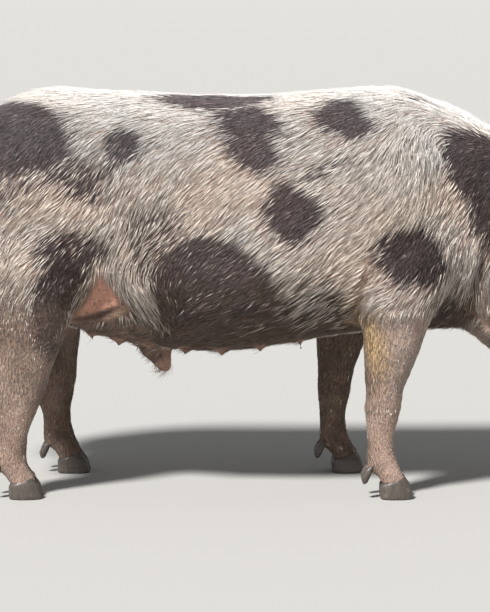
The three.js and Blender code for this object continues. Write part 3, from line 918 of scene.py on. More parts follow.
def bareness(p, kinds):
    """How bare and flushed the skin is: snout, teats, groin, sheath and the flanks' hollows."""
    s, _, _ = head_place(p)
    bare = smooth(s, 300, 372) * np.isin(kinds, FACE_KINDS)
    bare = np.maximum(bare, fine_places(p))
    bare = np.maximum(bare, flank_pocket(p, -18, -6))
    bare = np.maximum(bare, 0.9 * (1 - smooth(within(p, (-226, 0, 296), (88, 260, 46)), 0.75, 1.1)))
    return np.maximum(bare, 0.8 * (1 - smooth(within(p, (-160, 0, 240), (66, 60, 60)), 0.7, 1.3)))


def in_folds(p, width):
    """1 down in the folds: under the flanks, behind the elbows and behind the jowls, where the coat thins
    and painted shade is laid.
    """
    found = np.zeros(len(p))
    for fold in FOLD_LINES:
        line = np.array(fold, float)
        steps = np.linspace(0, len(line) - 1, 40)
        x = np.interp(steps, np.arange(len(line)), line[:, 0])
        z = np.interp(steps, np.arange(len(line)), line[:, 1])
        gap = np.hypot(p[:, :1] - x, p[:, 2:] - z).min(1)
        found = np.maximum(found, bell(gap, width) * (np.abs(p[:, 1]) > 60))
    return found


def shadowed(p):
    """Near-black painted shade, inside the nostrils and down in the folds."""
    deep = 0.85 * in_folds(p, 4.5)
    s, h, y = head_place(p)
    for side in (-1, 1):
        gap = np.hypot(y - side * NOSTRIL["y"], h - NOSTRIL["h"])
        deep = np.maximum(deep, (1 - smooth(gap, 7, 10)) * smooth(388 - s, 1, 9) * (s > 355))
    return deep


def dust(p):
    """Brown from the ground on the legs, the underside, the groin and low on the flanks and hams, with
    painted shade in the same brown: darker towards the bottom of the body, on the brisket, behind the jowls
    and over the far legs on the left.
    """
    x, y, z = p.T
    patchy = 0.5 + 0.5 * noise(p, 44, 61)
    # Darker towards the bottom of the flanks and hams: dirt and painted shade together.
    low = 1.5 * (1 - smooth(z, 326, 446)) * (1 - smooth(x, 390, 412))
    arm = (np.abs(y) > 110) * bell(x - 280, 90)
    low = low * (1 - 0.85 * arm) * (1 - 0.6 * smooth(-x, 260, 330))
    # Painted shade on the brisket, under the neck.
    brisket = 1.4 * bell(x - 366, 34) * (1 - smooth(z, 330, 410))
    # Dirt on all the lower legs, and painted shade that makes the far legs on the left darker.
    legs = mix(0.36, 1.0, y > 30) * (1 - smooth(z, 190, 430))
    # Painted shade behind the jowl.
    jowl = 1.3 * bell(x - mix(398, 436, smooth(z, 334, 470)), 9) * bell(z - 370, 90)
    spread_out = np.maximum.reduce([low, brisket, legs, jowl]) * (0.6 + 0.7 * patchy)
    groin = within(p, (-222, 0, 290), (94, 280, 46))
    spread_out = np.maximum(spread_out, 0.95 * (1 - smooth(groin, 0.8, 1.15)))
    sheath = within(p, SHEATH_TIP, (40, 60, 44))
    clean = np.maximum(flank_pocket(p, -6, 6), 0.55 * (1 - smooth(sheath, 0.5, 1.1)))
    clean = np.maximum(clean, 0.55 * smooth(fine_places(p), 0.5, 0.95))
    return np.clip(spread_out * (1 - clean), 0, 1)


def straw(p):
    """Yellow bristle: down the back of the right forearm and along the front edge of the thighs."""
    x, y, z = p.T
    forearm = bell(x - 206 - 0.25 * (345 - z), 24) * bell(z - 285, 62) * (y < -60)
    edge = bell(x - mix(-300, -262, (z - 300) / 120), 9)
    thigh = edge * bell(z - 335, 50) * (np.abs(y) > 90)
    return np.clip(0.9 * forearm + 0.5 * thigh, 0, 1)


def soot(p):
    """How much darker the dark hair is painted, 0 to 1: darker hair at the shoulder and neck, and painted
    shade at the stifle in front of the thigh.
    """
    return np.maximum.reduce([bell(within(p, place, (1, 2, 1)), reach) for place, reach in SOOT_AND_SHADE_PLACES])


def picked_out(p):
    """Where long white bristle stands out: the back, the fall behind the withers and the flank's swirl."""
    x, y, z = p.T
    back = 0.6 * smooth(z, 640, 700)
    fall = bell(x - 285, 44) * bell(z - 600, 80)
    swirl = bell(x + 190, 34) * bell(z - 395, 44) * (np.abs(y) > 90)
    return np.maximum.reduce([back, fall, swirl])


def comb(p):
    """The way the coat lies at each point of the body, from the strokes and their mirror images."""
    strokes = np.array(STROKES, float)
    place = strokes[:, :3]
    way = unit(np.insert(strokes[:, 3:], 1, 0.0, axis=1))
    place = np.concatenate([place, place * [1, -1, 1]])
    way = np.concatenate([way, way * [1, -1, 1]])
    out = np.empty_like(p)
    for start in range(0, len(p), 20000):
        part = p[start : start + 20000]
        square = ((part[:, None, :] - place[None]) ** 2).sum(2)
        weight = 1 / (square + 22.0**2) ** 1.6
        out[start : start + 20000] = weight @ way
    return unit(out)


def lie_of_coat(p, kinds):
    """The coat's direction at each skin point, before it is laid flat on the skin."""
    way = comb(p)
    s, h, _ = head_place(p)
    down = np.array([0.0, 0.0, -1.0])
    back = np.array([-0.45, 0.0, -0.35])
    face = unit(mix(-FACE_DOWN, back, smooth(-h, 90, 210)[:, None]))
    face_share = smooth(s, -30, 60)[:, None]
    way = np.where(np.isin(kinds, ["head", "lower_jaw"])[:, None], mix(way, face, face_share), way)
    way[np.isin(kinds, [*FOOT_KINDS, "tail"])] = down
    way = np.where(np.isin(kinds, LEG_KINDS)[:, None], mix(way, down, 0.7), way)
    way[kinds == "ear"] = unit(FACE_DOWN + np.array([0.2, 0, -0.1]))
    end_on = np.abs(way[:, :1])
    return unit(way + 0.25 * end_on * down)


def flat_on(way, n):
    """Lays directions on the surface; where one points straight out it falls instead."""
    laid = way - dot(way, n)[:, None] * n
    weak = 1 - smooth(np.linalg.norm(laid, axis=1), 0.1, 0.45)
    down = np.array([-0.2, 0.0, -1.0])
    fall = down - dot(n, down)[:, None] * n
    return unit(laid + weak[:, None] * fall)


def unwrap(mesh):
    """Unwraps the skin's own shape into the bake map."""
    holder = bpy.data.objects.new("unwrap_holder", mesh)
    bpy.context.scene.collection.objects.link(holder)
    mesh.uv_layers.new(name="OFBake")
    bpy.context.view_layer.objects.active = holder
    holder.select_set(True)
    bpy.ops.object.mode_set(mode="EDIT")
    bpy.ops.mesh.select_all(action="SELECT")
    bpy.ops.uv.smart_project(angle_limit=math.radians(66), island_margin=0.001)
    bpy.ops.object.mode_set(mode="OBJECT")
    bpy.data.objects.remove(holder)


def bake_map(mesh):
    return read(mesh.uv_layers["OFBake"].data, "uv", 2)


def bake_places(mesh, p):
    """The place in the skin's bake map nearest to each point."""
    tree = skin_tree(mesh)
    _, loops = triangles(mesh)
    hit = np.array([tree.find_nearest(q)[2] for q in p])
    return bake_map(mesh)[loops[hit]].mean(1)


# ---------------------------------------------------------------- the coat


def hair_near_eyes(p):
    """How dense and how long the hair is round the eyes, 0 to 1: the lids are bare and it starts short."""
    full = np.ones(len(p))
    grown = np.ones(len(p))
    for side in (-1, 1):
        _, along, up = eye_axes(side)
        q = p - eye_centre(side)
        gap = -slit_inside(q @ along, q @ up)
        close = gap_to(p, eye_centre(side)) < 30
        full = np.where(close, smooth(gap, 2, 6), full)
        grown = np.where(close, mix(0.4, 1.0, smooth(gap, 2, 14)), grown)
    return full, grown


def coat_values(p, kinds, pairs):
    """Tuft length, width, lift and number per mm2 at each skin point, blended across the nodes."""
    long, wide, lift = (blurred(kind_values(kinds, what), pairs, 12) for what in ("long", "wide", "lift"))
    dense = blurred(kind_values(kinds, "dense"), pairs, 6) / 100
    s, _, _ = head_place(p)
    height = p[:, 2]
    trunk = kinds == "trunk"
    on_face = np.isin(kinds, FACE_KINDS)
    full, grown = hair_near_eyes(p)
    long = np.where(on_face, long * mix(1.0, 0.5, smooth(s, 150, 340)), long) * grown
    dense = dense * np.where(on_face, 1 - smooth(s, 352, 362), 1) * full
    dense = dense * (1 - 0.95 * fine_places(p))
    bare = bareness(p, kinds)
    dense = dense * (1 - 0.85 * bare * (~on_face))
    dense = dense * (1 - flank_pocket(p, -14, -4)) * (1 - 0.85 * in_folds(p, 6))
    in_hair, in_skin = markings(p)
    dense = dense * (1 - 0.35 * in_skin * (1 - in_hair) * (~on_face))
    under = 1 - smooth(height, 262, 350)
    long = np.where(trunk, long * (1 - 0.3 * under) * (1 - 0.4 * bare), long)
    dense = np.where(trunk, dense * (1 - 0.4 * under), dense)
    long = long * (1 + 0.25 * picked_out(p))
    lift = lift * (1 + 0.4 * picked_out(p)) * (1 - 0.6 * smooth(height, 640, 695))
    switch = bell(gap_to(p, TAIL_END), 40) * (kinds == "tail")
    sheath = bell(gap_to(p, SHEATH_TIP), 16)
    long = long + 26 * switch + 10 * sheath
    dense = (dense + 0.05 * sheath) * smooth(height, *HAIR_ENDS)
    return long, wide, lift, dense


def strewn(mesh, dense):
    """Random places on the skin, as many as its density asks: corner vertices, corner loops and shares."""
    co = points(mesh)
    corners, loops = triangles(mesh)
    a, b, c = co[corners[:, 0]], co[corners[:, 1]], co[corners[:, 2]]
    area = np.linalg.norm(np.cross(b - a, c - a), axis=1) / 2
    wanted = area * dense[corners].mean(1)
    reached = np.cumsum(wanted) + RANDOM.random()
    count = np.diff(np.floor(np.concatenate([[0], reached]))).astype(int)
    chosen = np.repeat(np.arange(len(corners)), count)
    u = RANDOM.random((len(chosen), 2))
    over = u.sum(1) > 1
    u[over] = 1 - u[over]
    share = np.stack([1 - u.sum(1), u[:, 0], u[:, 1]], axis=1)
    return corners[chosen], loops[chosen], share


def spread(values, corners, share):
    """A skin value carried to each root from the corners of its triangle."""
    picked = values[corners]
    if picked.ndim == 2:
        return (picked * share).sum(1)
    return (picked * share[:, :, None]).sum(1)


# A tuft's five points: root, three round its widest place, tip. Then its faces, its points' places in a
# square of the bake map, and how far each point is out of the painted shade at the root, from 0 at the root
# to 1 at the tip.
TUFT_FACES = np.array([[0, 2, 1], [0, 3, 2], [0, 1, 3], [1, 2, 4], [2, 3, 4], [3, 1, 4]])
TUFT_PATCH = np.array([[0.0, -0.5], [-0.5, -0.1], [0.5, -0.1], [0.0, 0.15], [0.0, 0.5]])
PATCH_SIZE = 0.003
TUFT_OUT_OF_ROOT_SHADE = np.array([0.0, 0.72, 0.72, 0.72, 1.0])


def tuft_points(t):
    """Five points a tuft: its root in the skin, a small triangle a third of the way along, and the tip."""
    root, n, way = t["root"], t["normal"], t["way"]
    side = np.cross(n, way)
    long, wide, lift = t["long"][:, None], t["wide"][:, None], t["lift"][:, None]
    sway, bend = t["sway"][:, None], t["bend"][:, None]
    middle = root + way * long * 0.36 + n * long * lift * 0.5 + side * long * sway * 0.2
    out = np.empty((len(root), 5, 3))
    out[:, 0] = root - n * 0.6 - way * long * 0.04
    out[:, 1] = middle - side * wide * 0.5
    out[:, 2] = middle + side * wide * 0.5
    out[:, 3] = middle + n * wide * 0.5
    out[:, 4] = root + way * long * 0.97 + n * long * lift * bend + side * long * sway
    return out


def coat_piece(name, tufts, uv, material):
    """One piece of coat as a closed solid for each tuft."""
    count = len(tufts["root"])
    co = tuft_points(tufts).reshape(-1, 3)
    faces = (TUFT_FACES[None] + 5 * np.arange(count)[:, None, None]).reshape(-1, 3)
    mesh = mesh_from(name, co, faces)
    for key in ("dark", "tone", "dust", "straw", "warm"):
        attribute(mesh, key, np.repeat(tufts[key], 5))
    # How far out of the painted root shade each point is.
    attribute(mesh, "tip", np.tile(TUFT_OUT_OF_ROOT_SHADE, count))
    layer = mesh.uv_layers.new(name="OFBake")
    patch = uv[:, None, :] + TUFT_PATCH[None] * PATCH_SIZE
    corner_uv = patch[:, TUFT_FACES.reshape(-1)].reshape(-1, 2)
    layer.data.foreach_set("uv", np.clip(corner_uv, 0, 1).astype(np.float32).ravel())
    return show(name, mesh, material)


def region_names(root, kinds):
    """The coat piece that each tuft belongs to."""
    side = np.where(root[:, 1] < 0, "right", "left")
    x = root[:, 0]
    along = np.select([x < -300, x < -80, x < 130], ["rump", "flank", "barrel"], "shoulder")
    part = np.where(kinds == "trunk", along, kinds)
    part = np.where(np.isin(kinds, FACE_KINDS), "head", part)
    part = np.where(np.isin(kinds, FOOT_KINDS), np.char.replace(kinds, "_foot", "_leg"), part)
    part = np.where(kinds == "tail", "rump", part)
    return np.char.add(np.char.add("coat_", part), np.char.add("_", side))


def lock_leaders(root, normal):
    """The leading tuft of each tuft's lock, or the tuft itself where the nearest leader grows elsewhere."""
    leaders = np.arange(0, len(root), TUFTS_A_LOCK)
    tree = KDTree(len(leaders))
    for k in leaders:
        tree.insert(root[k], k)
    tree.balance()
    leader = np.array([tree.find(p)[1] for p in root])
    same_side = dot(normal, normal[leader]) > 0.7
    near = gap_to(root, root[leader]) < LOCK_REACH
    return np.where(same_side & near, leader, np.arange(len(root)))


def flow_of(way, root, normal, long, leader):
    """Each tuft's lie: the coat's, wandering a little, and drawn towards the tip of its lock."""
    wander = np.stack([noise(root, 26, seed) for seed in (71, 72, 73)], axis=1)
    parted = np.stack([noise(root, 9, seed) for seed in (74, 75, 76)], axis=1)
    flow = flat_on(way + 0.15 * wander + 0.15 * parted, normal)
    lock_tip = root[leader] + flow[leader] * (long[leader] * 1.15)[:, None]
    return flat_on(mix(flow, unit(lock_tip - root), LOCK_LEAN), normal)


def tones_of(root, strand, marked, on_face):
    """Which tufts are dark, which are bright strands, and how pale each one is."""
    count = len(root)
    dark = (marked > RANDOM.uniform(0.02, 0.98, count)).astype(float)
    picked = picked_out(root)
    on_leg = (np.abs(root[:, 1]) > 40) * (1 - smooth(root[:, 2], 290, 360))
    bright_share = BRIGHT_SHARE + 0.40 * picked - 0.33 * on_leg - 0.24 * on_face
    bright = strand < mix(bright_share, BRIGHT_SHARE_IN_DARK, dark)
    # Bright strands are painted darker along the top of the back, painted shade that tempers the strong
    # light falling on the top; on the face they are a little darker too.
    bright_tone = 1.0 - 0.12 * smooth(root[:, 2], 650, 705) - 0.12 * on_face
    # Dark hair is painted darker at the shoulder and neck, and at the stifle with painted shade.
    plain_tone = mix(0.42 + 0.28 * picked, 0.38 - 0.32 * soot(root), dark)
    tone = np.where(bright, bright_tone, plain_tone) + 0.10 * noise(root, 15, 77)
    tone = tone + mix(0.17, 0.12, dark) * RANDOM.standard_normal(count)
    return dark, bright, np.clip(tone, 0, 1)


def grow_coat(mesh, kinds, material):
    """All the tufts, rooted in the skin and lying along it, in pieces by region."""
    co = points(mesh)
    pairs = edges(mesh)
    long, wide, lift, dense = coat_values(co, kinds, pairs)
    way = unit(blurred(lie_of_coat(co, kinds), pairs, 6))
    n = unit(blurred(normals(mesh), pairs, 2))
    corners, loops, share = strewn(mesh, dense)
    count = len(corners)
    kind = kinds[corners[:, 0]]
    root = spread(co, corners, share)
    normal = unit(spread(n, corners, share))
    long, wide, lift = (spread(values, corners, share) for values in (long, wide, lift))
    leader = lock_leaders(root, normal)
    flow = flow_of(spread(way, corners, share), root, normal, long, leader)
    lock = RANDOM.standard_normal(count)[leader]
    strand = RANDOM.random(count)[leader]
    marked, _ = markings(root)
    marked = marked * (1 - flank_pocket(root, -30, -14))
    on_face = np.isin(kind, ["head", "lower_jaw", "ear"])
    dark, bright, tone = tones_of(root, strand, marked, on_face)
    raised = np.clip(np.where(bright, 1.2, 0.85) + 0.3 * lock, 0.3, 1.8)
    thickened = np.where(bright, 1.4 - 0.35 * on_face, 0.92)
    # How much of the brown dirt and painted shade each tuft takes: bright strands take less.
    shade_and_dust_taken = np.where(bright, 0.32, 1.15)
    warm = 0.66 - 0.56 * smooth(root[:, 2], 540, 680) + 0.35 * noise(root, 70, 78)
    tufts = {
        "root": mix(root, root[leader], 0.15),
        "normal": normal,
        "way": flow,
        "long": long * RANDOM.uniform(0.65, 1.25, count) * (1 - 0.42 * marked),
        "wide": wide * RANDOM.uniform(0.6, 1.2, count) * thickened,
        "lift": lift * raised * RANDOM.uniform(0.7, 1.3, count),
        "sway": 0.06 * RANDOM.standard_normal(count),
        "bend": RANDOM.uniform(0.55, 1.0, count),
        "dark": dark * RANDOM.uniform(0.85, 1.0, count),
        "tone": tone,
        # Brown dirt with painted shade.
        "dust": np.clip(dust(root) * RANDOM.uniform(0.7, 1.0, count) * shade_and_dust_taken * (1 - 0.55 * dark), 0, 1),
        "straw": straw(root),
        "warm": np.clip(warm + 0.15 * RANDOM.standard_normal(count), 0, 1),
    }
    uv = spread(bake_map(mesh), loops, share)
    names = region_names(root, kind)
    for name in sorted(set(names)):
        mine = names == name
        coat_piece(str(name), {key: values[mine] for key, values in tufts.items()}, uv[mine], material)


# ---------------------------------------------------------------- materials


def new_material(name):
    """A procedural material with one shader, its node tree and that shader."""
    material = bpy.data.materials.new(name)
    material.use_nodes = True
    tree = material.node_tree
    tree.nodes.clear()
    output = tree.nodes.new("ShaderNodeOutputMaterial")
    shader = tree.nodes.new("ShaderNodeBsdfPrincipled")
    tree.links.new(shader.outputs["BSDF"], output.inputs["Surface"])
    return material, tree, shader


def attribute_node(tree, name):
    node = tree.nodes.new("ShaderNodeAttribute")
    node.attribute_name = name
    return node.outputs["Fac"]


def texture_node(tree, kind, scale, stretch=(1, 1, 1)):
    """A texture laid out in the object's own metres."""
    place = tree.nodes.new("ShaderNodeTexCoord")
    mapping = tree.nodes.new("ShaderNodeMapping")
    mapping.inputs["Scale"].default_value = stretch
    node = tree.nodes.new(kind)
    node.inputs["Scale"].default_value = scale
    tree.links.new(place.outputs["Object"], mapping.inputs["Vector"])
    tree.links.new(mapping.outputs["Vector"], node.inputs["Vector"])
    return node


def noise_node(tree, scale, detail=4.0, stretch=(1, 1, 1)):
    node = texture_node(tree, "ShaderNodeTexNoise", scale, stretch)
    node.inputs["Detail"].default_value = detail
    return node.outputs["Fac"]


def cell_node(tree, scale):
    node = texture_node(tree, "ShaderNodeTexVoronoi", scale)
    node.feature = "DISTANCE_TO_EDGE"
    return node.outputs["Distance"]


def feed(tree, socket, value):
    """Links a socket to another one, or sets it to a colour or a number."""
    if isinstance(value, bpy.types.NodeSocket):
        tree.links.new(value, socket)
    elif isinstance(value, tuple):
        socket.default_value = (*value, 1.0)
    else:
        socket.default_value = value


def mix_node(tree, a, b, factor, blend="MIX"):
    """A colour between two colours or sockets."""
    node = tree.nodes.new("ShaderNodeMix")
    node.data_type = "RGBA"
    node.blend_type = blend
    feed(tree, node.inputs[6], a)
    feed(tree, node.inputs[7], b)
    feed(tree, node.inputs[0], factor)
    return node.outputs[2]


def range_node(tree, value, low, high, to_low=0.0, to_high=1.0):
    node = tree.nodes.new("ShaderNodeMapRange")
    node.interpolation_type = "SMOOTHSTEP"
    node.inputs["From Min"].default_value = low
    node.inputs["From Max"].default_value = high
    node.inputs["To Min"].default_value = to_low
    node.inputs["To Max"].default_value = to_high
    tree.links.new(value, node.inputs["Value"])
    return node.outputs["Result"]


def times_node(tree, a, b):
    node = tree.nodes.new("ShaderNodeMath")
    node.operation = "MULTIPLY"
    feed(tree, node.inputs[0], a)
    feed(tree, node.inputs[1], b)
    return node.outputs["Value"]


def bump_node(tree, height, distance, strength=1.0, under=None):
    node = tree.nodes.new("ShaderNodeBump")
    node.inputs["Distance"].default_value = distance
    node.inputs["Strength"].default_value = strength
    tree.links.new(height, node.inputs["Height"])
    if under is not None:
        tree.links.new(under, node.inputs["Normal"])
    return node.outputs["Normal"]


def skin_material():
    """Pink skin with darker patches, flushed where it is bare, brown with dirt and painted shade low down,
    near-black painted shade in the nostrils and folds, and moist on the snout.
    """
    material, tree, shader = new_material("pig_skin")
    mottle = range_node(tree, noise_node(tree, 45), 0.35, 0.65)
    fine = range_node(tree, noise_node(tree, 260, 5), 0.3, 0.7)
    colour = mix_node(tree, (0.45, 0.30, 0.24), (0.57, 0.41, 0.34), mottle)
    colour = mix_node(tree, colour, (0.42, 0.27, 0.215), times_node(tree, fine, 0.35))
    flushed = mix_node(tree, (0.47, 0.225, 0.16), (0.58, 0.315, 0.235), fine)
    grime = range_node(tree, noise_node(tree, 170, 6), 0.50, 0.66)
    flushed = mix_node(tree, flushed, (0.20, 0.115, 0.075), times_node(tree, grime, 0.7))
    colour = mix_node(tree, colour, flushed, attribute_node(tree, "bare"))
    slate = mix_node(tree, (0.048, 0.031, 0.034), (0.090, 0.060, 0.063), fine)
    colour = mix_node(tree, colour, slate, attribute_node(tree, "dark"))
    # Brown for dirt, and for painted shade low down, on the brisket, behind the jowls and on the far legs.
    shade_and_dust_colour = mix_node(tree, (0.20, 0.130, 0.092), (0.105, 0.066, 0.048), mottle)
    colour = mix_node(tree, colour, shade_and_dust_colour, attribute_node(tree, "dust"))
    colour = mix_node(tree, colour, (0.50, 0.34, 0.17), attribute_node(tree, "straw"))
    freckles = range_node(tree, noise_node(tree, 120, 2), 0.60, 0.68)
    freckled = times_node(tree, freckles, attribute_node(tree, "snout"))
    colour = mix_node(tree, colour, (0.10, 0.06, 0.055), times_node(tree, freckled, 0.7))
    # Near-black painted shade inside the nostrils and down in the folds.
    colour = mix_node(tree, colour, (0.05, 0.018, 0.016), attribute_node(tree, "deep"))
    tree.links.new(colour, shader.inputs["Base Color"])
    moist = range_node(tree, attribute_node(tree, "snout"), 0, 1, 0.56, 0.34)
    tree.links.new(moist, shader.inputs["Roughness"])
    pores = bump_node(tree, noise_node(tree, 900, 3), 0.0006)
    wrinkles = bump_node(tree, cell_node(tree, 330), 0.0009, 0.7, pores)
    folds = bump_node(tree, noise_node(tree, 90, 4, (1, 1, 2.2)), 0.0025, 0.6, wrinkles)
    tree.links.new(folds, shader.inputs["Normal"])
    shader.inputs["Specular IOR Level"].default_value = 0.4
    return material


def coat_material():
    """Cream and slate bristles, each a little different, with painted shade at the root of each that fades
    out to the tip, and turned brown by dirt and by painted shade low down.
    """
    material, tree, shader = new_material("pig_coat")
    tone = attribute_node(tree, "tone")
    warm = attribute_node(tree, "warm")
    cream = mix_node(tree, (0.46, 0.415, 0.38), (0.84, 0.825, 0.805), tone)
    warm_cream = mix_node(tree, (0.55, 0.40, 0.32), (0.98, 0.87, 0.76), tone)
    pale = mix_node(tree, cream, warm_cream, range_node(tree, warm, 0.1, 0.9, 0, 0.95))
    slate = mix_node(tree, (0.018, 0.015, 0.018), (0.21, 0.178, 0.193), tone)
    umber = mix_node(tree, (0.024, 0.014, 0.015), (0.215, 0.142, 0.147), tone)
    dark = mix_node(tree, slate, umber, warm)
    colour = mix_node(tree, pale, dark, attribute_node(tree, "dark"))
    yellow = mix_node(tree, (0.42, 0.27, 0.12), (0.86, 0.66, 0.36), tone)
    colour = mix_node(tree, colour, yellow, attribute_node(tree, "straw"))
    # Brown hair for dirt and for painted shade.
    shade_and_dust_hair = mix_node(tree, (0.055, 0.036, 0.028), (0.21, 0.146, 0.108), tone)
    colour = mix_node(tree, colour, shade_and_dust_hair, attribute_node(tree, "dust"))
    # Painted shade at the root of each tuft, where it lies under its neighbours, fading out to the tip.
    root = mix_node(tree, (0.36, 0.285, 0.26), (1.0, 1.0, 1.0), attribute_node(tree, "tip"))
    colour = mix_node(tree, colour, root, 1.0, "MULTIPLY")
    tree.links.new(colour, shader.inputs["Base Color"])
    streak = range_node(tree, noise_node(tree, 1400, 2), 0.3, 0.7, 0.36, 0.6)
    tree.links.new(streak, shader.inputs["Roughness"])
    shader.inputs["Specular IOR Level"].default_value = 0.5
    return material


def horn_material():
    """Hoof horn: grey-brown with paler scuffs, growth rings and fine streaks."""
    material, tree, shader = new_material("pig_horn")
    streaks = noise_node(tree, 420, 3, (1, 1, 0.10))
    rings = noise_node(tree, 240, 2, (0.10, 0.10, 1))
    streaked = range_node(tree, streaks, 0.3, 0.75)
    base = mix_node(tree, (0.060, 0.049, 0.043), (0.094, 0.076, 0.065), streaked)
    base = mix_node(tree, base, (0.040, 0.032, 0.028), range_node(tree, rings, 0.5, 0.75, 0, 0.4))
    scuffs = range_node(tree, noise_node(tree, 90, 7), 0.56, 0.80, 0, 0.45)
    base = mix_node(tree, base, (0.22, 0.18, 0.145), scuffs)
    tree.links.new(base, shader.inputs["Base Color"])
    tree.links.new(range_node(tree, streaks, 0.3, 0.7, 0.34, 0.5), shader.inputs["Roughness"])
    ringed = bump_node(tree, rings, 0.0009, 0.6)
    tree.links.new(bump_node(tree, streaks, 0.0003, 0.6, ringed), shader.inputs["Normal"])
    return material


def eye_material():
    """A dark brown iris round a black pupil, a narrow brownish white, all under a wet surface."""
    material, tree, shader = new_material("pig_eye")
    off = attribute_node(tree, "off_axis")
    fibres = noise_node(tree, 1500, 3)
    iris = mix_node(tree, (0.045, 0.020, 0.010), (0.16, 0.080, 0.038), range_node(tree, fibres, 0.35, 0.65))
    colour = mix_node(tree, (0.002, 0.002, 0.002), iris, range_node(tree, off, 0.26, 0.30))
    colour = mix_node(tree, colour, (0.015, 0.008, 0.006), range_node(tree, off, 0.54, 0.62))
    white = mix_node(tree, (0.40, 0.28, 0.22), (0.58, 0.46, 0.40), fibres)
    colour = mix_node(tree, colour, white, range_node(tree, off, 0.66, 0.74))
    tree.links.new(colour, shader.inputs["Base Color"])
    shader.inputs["Roughness"].default_value = 0.12
    shader.inputs["Coat Weight"].default_value = 1.0
    shader.inputs["Coat Roughness"].default_value = 0.03
    return material


# ---------------------------------------------------------------- eyes, lashes and hooves


def eyeball(side, material):
    """A round ball with a raised clear front; its own axis is carried as an attribute."""
    name = "left" if side > 0 else "right"
    out, along, up = eye_axes(side)
    centre = eye_centre(side)
    bm = bmesh.new()
    bmesh.ops.create_uvsphere(bm, u_segments=48, v_segments=32, radius=1.0)
    mesh = bpy.data.meshes.new("eyeball")
    bm.to_mesh(mesh)
    bm.free()
    local = points(mesh)
    off = np.arccos(np.clip(local[:, 2], -1, 1))
    radius = EYE["radius"] + 0.9 * (1 - smooth(off, 0.35, 0.75))
    placed = local[:, :1] * along + local[:, 1:2] * up + local[:, 2:] * out
    move_to(mesh, centre + placed * radius[:, None])
    attribute(mesh, "off_axis", off)
    mesh.shade_smooth()
    piece = show("eyeball_" + name, mesh, material)
    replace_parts(piece, "eye_" + name)


def lash_tufts(side):
    """Long pale lashes along the upper lid and a few short ones below."""
    out, along, up = eye_axes(side)
    centre = eye_centre(side)
    u = np.concatenate([np.linspace(-11, 9, LASHES["above"]), np.linspace(-9, 8, LASHES["below"])])
    above = np.repeat([1.0, -1.0], [LASHES["above"], LASHES["below"]])
    share = 1 - (np.abs(u) / EYE_SLIT["half"]) ** 2.2
    v = np.where(above > 0, EYE_SLIT["above"] * share + 1.2, -EYE_SLIT["below"] * share - 1.2)
    w = np.sqrt(np.maximum((EYE["radius"] + 2.6) ** 2 - u**2 - v**2, 0))
    root = centre + u[:, None] * along + v[:, None] * up + w[:, None] * out
    way = unit(out * 0.9 + above[:, None] * up * 0.35 + (u / 30)[:, None] * along - 0.25 * along)
    count = len(u)
    return {
        "root": root,
        "normal": unit(up * above[:, None] + 0.2 * out),
        "way": way,
        "long": np.where(above > 0, 9.0, 4.0) * RANDOM.uniform(0.7, 1.2, count),
        "wide": np.full(count, 0.35),
        "lift": np.full(count, -0.25),
        "sway": 0.06 * RANDOM.standard_normal(count),
        "bend": np.full(count, 1.6),
        "dark": np.full(count, 0.25 if side > 0 else 0.1),
        "tone": RANDOM.uniform(0.4, 0.9, count),
        "dust": np.zeros(count),
        "straw": np.zeros(count),
        "warm": np.full(count, 0.5),
    }


def rounded_horn(node, material):
    """A hoof or dewclaw remade with fine rounded faces, inside its own surface and narrower at the top."""
    mesh = remeshed(*node_shape(node), HORN_VOXEL)
    co = relaxed(points(mesh), edges(mesh), np.full(len(mesh.vertices), float(HORN_ROUNDS)))
    low, high = co[:, 2].min(), co[:, 2].max()
    drawn_in = HORN_DRAWN_IN * smooth(co[:, 2], mix(low, high, 0.55), high)
    co[:, :2] = mix(co[:, :2], co[:, :2].mean(0), drawn_in[:, None])
    move_to(mesh, co)
    mesh.shade_smooth()
    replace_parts(show(node + "_horn", mesh, material), node)


def horn_nodes():
    return sorted(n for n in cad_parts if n.startswith(("hoof_", "dewclaw_")))


# ---------------------------------------------------------------- stage


def make_camera():
    """Level with the flank, a little above, far enough off for the view to be nearly flat."""
    data = bpy.data.cameras.new("camera")
    data.sensor_width = SENSOR
    data.lens = LENS_IN_PICTURE_HEIGHTS * SENSOR
    camera = bpy.data.objects.new("camera", data)
    bpy.context.scene.collection.objects.link(camera)
    lift = math.radians(CAMERA_LIFT)
    camera.location = CAMERA_TARGET + Vector((0, -math.cos(lift), math.sin(lift))) * CAMERA_AWAY
    camera.rotation_euler = (CAMERA_TARGET - camera.location).to_track_quat("-Z", "Y").to_euler()
    bpy.context.scene.camera = camera


def floor_ring(radius):
    turn = np.linspace(0, 2 * math.pi, FLOOR_SIDES, endpoint=False)
    height = FLOOR_RISE * max(radius - FLOOR_FLAT, 0) ** 2
    return np.stack([radius * np.cos(turn), radius * np.sin(turn), np.full(FLOOR_SIDES, height)], axis=1)


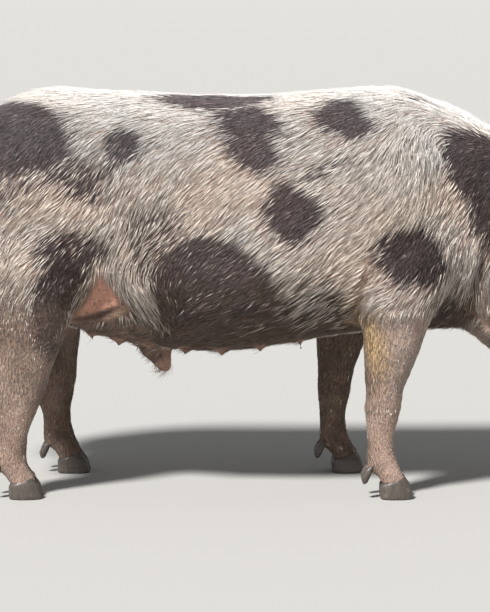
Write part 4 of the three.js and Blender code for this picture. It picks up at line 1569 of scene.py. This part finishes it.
def make_floor():
    """A wide plain pale floor, which rises gently a long way off so that it has no horizon."""
    material, _, shader = new_material("studio_floor")
    shader.inputs["Base Color"].default_value = (0.37, 0.365, 0.355, 1)
    shader.inputs["Roughness"].default_value = 0.9
    rings = [floor_ring(0.0)] + [floor_ring(FLOOR_FLAT * 1.12**k) for k in range(FLOOR_RINGS)]
    inner = np.arange(FLOOR_SIDES * FLOOR_RINGS)
    beside = inner // FLOOR_SIDES * FLOOR_SIDES + (inner + 1) % FLOOR_SIDES
    faces = np.stack([inner, inner + FLOOR_SIDES, beside + FLOOR_SIDES, beside], axis=1)
    floor = bpy.data.objects.new("floor", mesh_from("floor", np.concatenate(rings), faces))
    floor.data.materials.append(material)
    bpy.context.scene.collection.objects.link(floor)


def make_lights():
    """A soft key from high on the left, and an even pale surround."""
    key = bpy.data.lights.new("key", "SUN")
    key.energy = 6.9
    key.angle = math.radians(9)
    key.color = (1.0, 0.985, 0.96)
    lamp = bpy.data.objects.new("key", key)
    bpy.context.scene.collection.objects.link(lamp)
    lamp.rotation_euler = KEY_DIRECTION.to_track_quat("-Z", "Y").to_euler()
    world = bpy.data.worlds.new("surround")
    world.use_nodes = True
    background = world.node_tree.nodes["Background"]
    background.inputs["Color"].default_value = (0.93, 0.95, 0.97, 1)
    background.inputs["Strength"].default_value = 0.36
    bpy.context.scene.world = world
    bpy.context.scene.view_settings.view_transform = "Standard"


# ---------------------------------------------------------------- the animal


def make_skin(flesh):
    """The skin's mesh, with its markings, and the kind of flesh that each of its points lies on."""
    mesh = body_skin(flesh)
    refine_head(mesh, flesh)
    add_small_forms(mesh)
    co = points(mesh)
    _, kinds = flesh.nearest(co)
    _, dark = markings(co)
    dark = dark * (1 - flank_pocket(co, -16, -4))
    s, _, _ = head_place(co)
    attribute(mesh, "dark", dark * (1 - 0.85 * smooth(s, 335, 362)))
    attribute(mesh, "bare", bareness(co, kinds))
    # Brown dirt with painted shade.
    attribute(mesh, "dust", dust(co))
    attribute(mesh, "straw", straw(co) * (1 - flank_pocket(co, -30, -12)))
    attribute(mesh, "snout", smooth(s, 340, 372) * np.isin(kinds, FACE_KINDS))
    # Painted shade in the nostrils and the folds.
    attribute(mesh, "deep", shadowed(co))
    mesh.shade_smooth()
    unwrap(mesh)
    return mesh, kinds


make_camera()
make_floor()
make_lights()

skin_mesh, skin_kinds = make_skin(Flesh())
coat = coat_material()
grow_coat(skin_mesh, skin_kinds, coat)
for side, name in ((-1, "right"), (1, "left")):
    lashes = lash_tufts(side)
    coat_piece("lashes_" + name, lashes, bake_places(skin_mesh, lashes["root"]), coat)

skin = show("skin", skin_mesh, skin_material())
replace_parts(skin, *FLESH)

eye = eye_material()
for side in (-1, 1):
    eyeball(side, eye)

horn = horn_material()
for node in horn_nodes():
    rounded_horn(node, horn)
